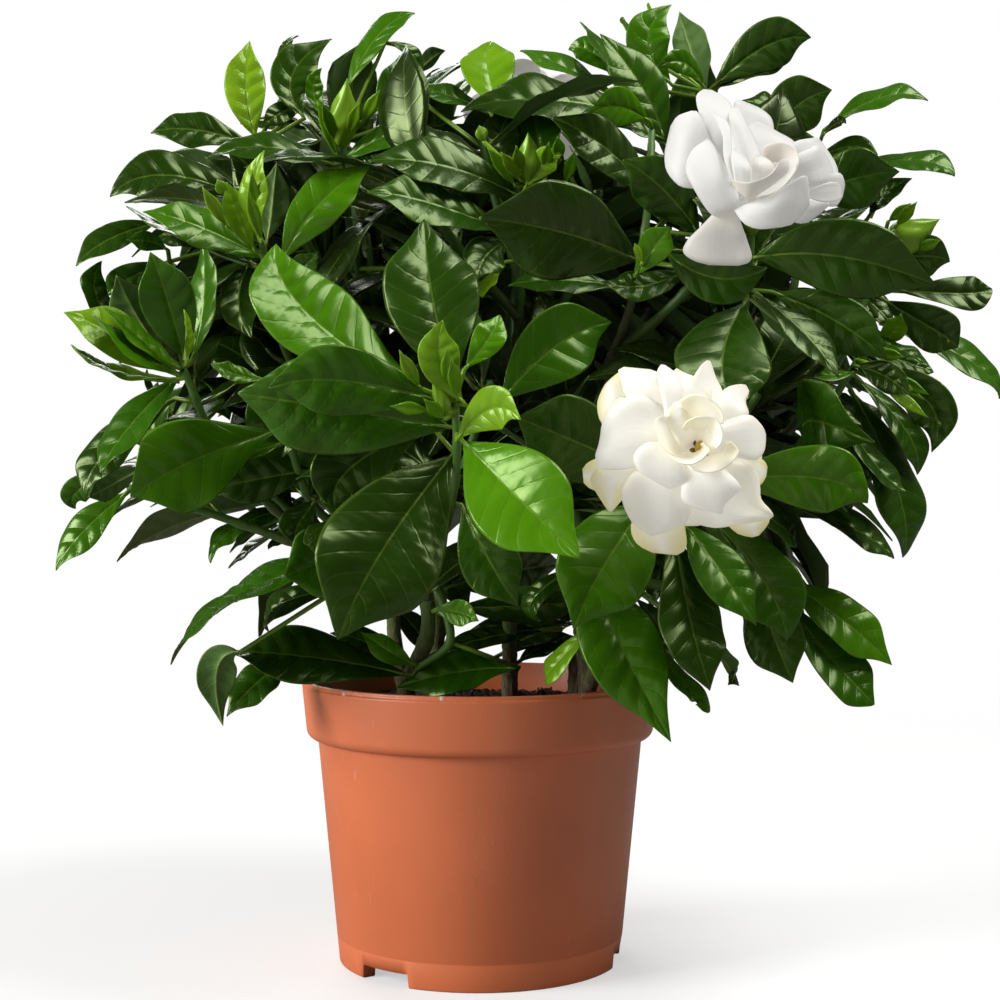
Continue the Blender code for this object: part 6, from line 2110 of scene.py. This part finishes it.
# Leaves deep in the plant: tip x, y, foot x, y and width (px), tip and foot depth (mm), tone. Their tones lie below
# those of the plant's dark leaves: painted shade for the dark gaps inside the plant.
COVER_LEAVES = rows("""
426 656 548 630 30 -10 10 0.12
452 652 530 622 34 20 30 0.1
578 622 505 652 32 20 26 0.08
516 652 584 606 36 30 34 0.05
394 606 436 662 30 22 20 0.08
330 632 402 664 36 10 14 0.1
650 612 676 526 30 -40 -30 0.12
203 378 256 424 40 0 10 0.12
912 178 868 218 28 -20 -10 0.15
616 126 668 148 26 -30 -20 0.15
470 610 430 560 34 30 30 0.05
560 606 590 560 34 20 20 0.05
830 400 780 430 40 -10 0 0.05
800 440 850 470 44 0 10 0.05
740 100 800 130 44 -30 -24 0.1
786 330 850 380 40 0 6 0.06
880 440 840 400 36 0 0 0.06
600 340 560 300 40 0 10 0.05
806 34 716 88 60 -16 -20 0.12
226 716 286 662 44 -44 -30 0.2
578 636 518 662 28 30 24 0.05
148 238 196 246 34 -10 0 0.1
690 196 742 252 44 -66 -60 0.05
896 330 846 288 36 -10 0 0.08
902 384 842 350 36 -5 0 0.08
636 598 674 666 28 -50 -40 0.1
742 446 812 388 64 16 24 0.04
800 392 748 456 54 30 30 0.03
790 470 760 560 44 -20 -10 0.05
230 420 200 380 36 0 10 0.06
750 452 782 398 52 60 66 0.03""")


@cache
def plan():
    """The planting, worked out once."""
    return FullPlanting()


def settings():
    """The sizes and colours of this scene."""
    return bpy.context.scene.gardenia


def colour(name, description, default):
    """A colour that a user may change."""
    return bpy.props.FloatVectorProperty(name=name, description=description, subtype="COLOR", default=default)


def power(name, description, default):
    """A light's power that a user may change."""
    return bpy.props.FloatProperty(name=name, description=description, unit="POWER", default=default, min=0.0)


class GardeniaSettings(bpy.types.PropertyGroup):
    """Sizes and colours of the plant, its pot and the stage."""

    pot_colour: colour("Pot", "Colour of the pot's plastic", (0.66, 0.16, 0.055))
    white_petal: colour("White petals", "Body of a fresh bloom's petals", (0.52, 0.515, 0.495))
    cream_petal: colour("Cream petals", "Body of an ageing bloom's petals", (0.72, 0.70, 0.64))
    crumbs: bpy.props.FloatProperty(
        name="Crumbs", description="Crumbs on a square metre of the root ball", default=160000.0, min=0.0)
    crumb_size: bpy.props.FloatProperty(
        name="Crumb size", description="Radius of the largest crumbs", subtype="DISTANCE", unit="LENGTH",
        default=0.0022, min=0.0001)
    floor_colour: colour("Floor", "Colour of the floor", (0.9, 0.9, 0.9))
    key_power: power("Key light", "Power of the large light at the upper left", 41.0)
    top_power: power("Top light", "Power of the light above and to the right", 19.0)
    back_power: power("Back light", "Power of the light behind the plant", 16.0)
    low_power: power("Low light", "Power of the dim light low in front", 3.0)


class GARDENIA_OT_pot(bpy.types.Operator):
    """Turned plastic pot with a banded lip and three notches in its foot ring"""

    bl_idname = "gardenia.pot"
    bl_label = "Pot"

    def execute(self, context):
        settle(make_pot(), ["pot"])
        return {"FINISHED"}


class GARDENIA_OT_soil(bpy.types.Operator):
    """Root ball with loose crumbs of bark and peat"""

    bl_idname = "gardenia.soil"
    bl_label = "Root ball"

    def execute(self, context):
        ball = make_root_ball()
        dark = soil_finish("peat", (0.006, 0.004, 0.003), (0.05, 0.022, 0.011))
        ball.data.materials.append(dark)
        crumbs = make_crumbs(ball, settings().crumbs, settings().crumb_size)
        settle(ball, ["soil"])
        settle(crumbs)
        return {"FINISHED"}


class GARDENIA_OT_wood(bpy.types.Operator):
    """Forked woody stems in their bark"""

    bl_idname = "gardenia.wood"
    bl_label = "Woody stems"

    def execute(self, context):
        rng = Random(SEEDS["wood"])
        bark = bark_finish()
        for name, ways in plan().wood.items():
            sheaf = Sheaf()
            for way, radius in zip(ways, (WOOD_RADIUS, WOOD_FORK_RADIUS)):
                fine = fine_way(way)
                radii = [r * rng.uniform(0.94, 1.03) for r in tapered(fine, radius, SEAT_RADIUS)]
                add_tube(sheaf, fine, radii, rng, 14, 0.16)
            sheaf.piece("bark_" + name, bark, "bark", ["woody_stem_" + name])
        return {"FINISHED"}


class GARDENIA_OT_shoots(bpy.types.Operator):
    """Leafy stems: their shoots, leaves, buds and calyx lobes"""

    bl_idname = "gardenia.shoots"
    bl_label = "Leafy stems"

    def execute(self, context):
        leaf, shoot = leaf_finish(), shoot_finish()
        for rank, name in enumerate(SEATS):
            rng = Random(SEEDS["shoots"] + rank)
            node = "leafy_stem_" + name
            leaves, shoots = Sheaf(), Sheaf()
            for way in plan().ways[name].values():
                fine = fine_way(way)
                add_tube(shoots, fine, tapered(fine, 2.0, 1.2), rng, 10, 0.2)
            for blade in plan().blades[name]:
                add_leaf(leaves, blade, rng, TONES[blade.tone] + rng.uniform(-0.04, 0.04))
            for bud in plan().buds[name]:
                add_bud(leaves, *bud, rng)
            for foot, tip in plan().cups[name]:
                add_calyx(leaves, foot, tip, rng)
            for blade in lobes_of(name):
                add_leaf(leaves, blade, rng, 0.6 + 0.2 * rng.random(), LOBE_ROWS, FILL_COLUMNS)
            leaves.piece("leaves_" + name, leaf, "foliage", [node])
            shoots.piece("shoots_" + name, shoot, "foliage", [node])
        return {"FINISHED"}


class GARDENIA_OT_fill(bpy.types.Operator):
    """Twigs and leaves between, beside and behind those of the leafy stems"""

    bl_idname = "gardenia.fill"
    bl_label = "Inner leaves"

    def execute(self, context):
        rng = Random(SEEDS["inner"])
        twigs = Sheaf()
        for way in plan().fill_ways:
            fine = fine_way(way, 2)
            add_tube(twigs, fine, tapered(fine, 1.9, 1.3), rng, 8, 0.2)
        twigs.piece("inner_twigs", bpy.data.materials["green_shoot"], "foliage")
        leaf = bpy.data.materials["gardenia_leaf"]
        pattern = leaf_pattern(rng).piece("leaf_pattern", leaf, "foliage")
        tree = Repeat("inner_leaves")
        tree.inlet("Leaf", "Object")
        tree.inlet("Finish", "Material")
        put = tree.open()
        points = tree.node("GeometryNodeMeshToPoints", {0: put["Geometry"]})
        shape = tree.node("GeometryNodeObjectInfo", {0: put["Leaf"]}, output="Geometry")
        turn = tree.node("GeometryNodeInputNamedAttribute", {"Name": "turn"}, data_type="FLOAT_VECTOR")
        stretch = tree.node("GeometryNodeInputNamedAttribute", {"Name": "stretch"}, data_type="FLOAT_VECTOR")
        tree.end(points, shape, turn, stretch, put["Finish"])
        source = fill_points(plan().blades["fill"], rng).piece("inner_points", leaf, "foliage")
        leaves = tree.grow(source, "inner_leaves", Leaf=pattern, Finish=leaf)
        extra = Sheaf()
        for *marks, wide, tip_depth, foot_depth, tone in COVER_LEAVES:
            tip, foot = point_at(*marks[:2], tip_depth), point_at(*marks[2:], foot_depth)
            along = (tip - foot).normalized()
            up = square_to((EYE - foot).normalized() + Vector((0, 0, 1.0)), along)
            width = wide * (foot_depth - EYE.y) / FOCAL_PX
            blade = Blade(foot - along * 6 - up, foot, foot.lerp(tip, 0.5) + up * 3.0, tip, up, width)
            # Painted shade: each cover leaf's low tone darkens it as the shade deep in the plant.
            add_leaf(extra, blade, rng, tone)
        extra.piece("cover_leaves", leaf, "foliage")
        bpy.data.objects.remove(pattern)
        settle(leaves)
        return {"FINISHED"}


class GARDENIA_OT_blooms(bpy.types.Operator):
    """The double blooms and the cream one's style and anthers"""

    bl_idname = "gardenia.blooms"
    bl_label = "Blooms"

    def execute(self, context):
        s = settings()
        # The last number of each petal finish is the strength of its painted glow.
        white = petal_finish("white_petal", tuple(s.white_petal), (0.53, 0.45, 0.33), 0.38)
        cream = petal_finish("cream_petal", tuple(s.cream_petal), (0.59, 0.53, 0.21), 0.36)
        for rank, (name, (core, axis, petals)) in enumerate(plan().blooms.items()):
            rng = Random(SEEDS["blooms"] + rank)
            sheaf = Sheaf()
            for row in DRAWN.get(name, ()):
                add_drawn_petal(sheaf, core, axis, row, rng)
            for petal in petals if name not in DRAWN else ():
                add_petal(sheaf, petal, rng, 0.2, 0.3)
            sheaf.piece("petals_" + name, cream if name == "cream" else white,
                        "cream_petals" if name == "cream" else "white_petals", ["bloom_" + name])
        make_style()
        return {"FINISHED"}


FLOOR_REACH = 60000.0
SENSOR = 36.0


class GARDENIA_OT_stage(bpy.types.Operator):
    """Pale floor, soft lights and the camera"""

    bl_idname = "gardenia.stage"
    bl_label = "Stage"

    def execute(self, context):
        s = settings()
        far = FLOOR_REACH
        mesh = mesh_of("floor", [(-far, -far, 0), (far, -far, 0), (far, far, 0), (-far, far, 0)], [(0, 1, 2, 3)])
        mesh.materials.append(floor_finish(tuple(s.floor_colour)))
        linked("floor", mesh)
        add_light("key_light", (-1.6, -0.65, 0.75), 0.9, s.key_power)
        add_light("top_light", (0.65, -0.35, 1.35), 0.8, s.top_power)
        add_light("back_light", (-0.5, 1.5, 1.2), 1.0, s.back_power)
        add_light("low_light", (-0.7, -1.8, 0.2), 1.2, s.low_power)
        world = bpy.data.worlds.new("studio")
        bpy.context.scene.world = world
        world.use_nodes = True
        sky = Graph(world.node_tree)
        seen = sky.node("LightPath", output="Is Camera Ray")
        dim = sky.node("Background", {"Color": (1.0, 0.97, 0.68), "Strength": 0.1})
        bright = sky.node("Background", {"Color": (1.0, 1.0, 1.0), "Strength": 1.0})
        both = sky.node("MixShader", {0: seen, 1: dim, 2: bright})
        sky.node("OutputWorld", {"Surface": both}, output=None)
        camera = linked("camera", bpy.data.cameras.new("camera"))
        camera.data.sensor_width = SENSOR
        camera.data.lens = FOCAL_PX * SENSOR / (2 * MIDDLE_PX)
        camera.data.clip_start = 0.01
        camera.location = EYE * MM
        camera.rotation_euler = (0.5 * pi, 0.0, 0.0)
        bpy.context.scene.camera = camera
        bpy.context.scene.view_settings.view_transform = "Standard"
        return {"FINISHED"}


def add_light(name, place, size, power):
    """A large square light that faces the plant."""
    light = linked(name, bpy.data.lights.new(name, "AREA"))
    light.data.size = size
    light.data.energy = power
    light.location = place
    light.rotation_euler = (Vector((0.0, 0.0, 0.2)) - Vector(place)).to_track_quat("-Z", "Y").to_euler()


class GARDENIA_PT_panel(bpy.types.Panel):
    """Sizes, colours and the steps of the plant"""

    bl_label = "Potted gardenia"
    bl_space_type = "VIEW_3D"
    bl_region_type = "UI"
    bl_category = "Gardenia"

    def draw(self, context):
        for name in GardeniaSettings.__annotations__:
            self.layout.prop(context.scene.gardenia, name)
        for step in STEPS:
            self.layout.operator(step.bl_idname)


STEPS = (GARDENIA_OT_stage, GARDENIA_OT_pot, GARDENIA_OT_soil, GARDENIA_OT_wood, GARDENIA_OT_shoots,
         GARDENIA_OT_fill, GARDENIA_OT_blooms)
CLASSES = (GardeniaSettings, GARDENIA_PT_panel) + STEPS


def register():
    for each in CLASSES:
        bpy.utils.register_class(each)
    bpy.types.Scene.gardenia = bpy.props.PointerProperty(type=GardeniaSettings)


def unregister():
    del bpy.types.Scene.gardenia
    for each in reversed(CLASSES):
        bpy.utils.unregister_class(each)


def main():
    """Builds every piece and the stage."""
    register()
    for step in STEPS:
        group, name = step.bl_idname.split(".")
        getattr(getattr(bpy.ops, group), name)()


if __name__ == "__main__":
    main()
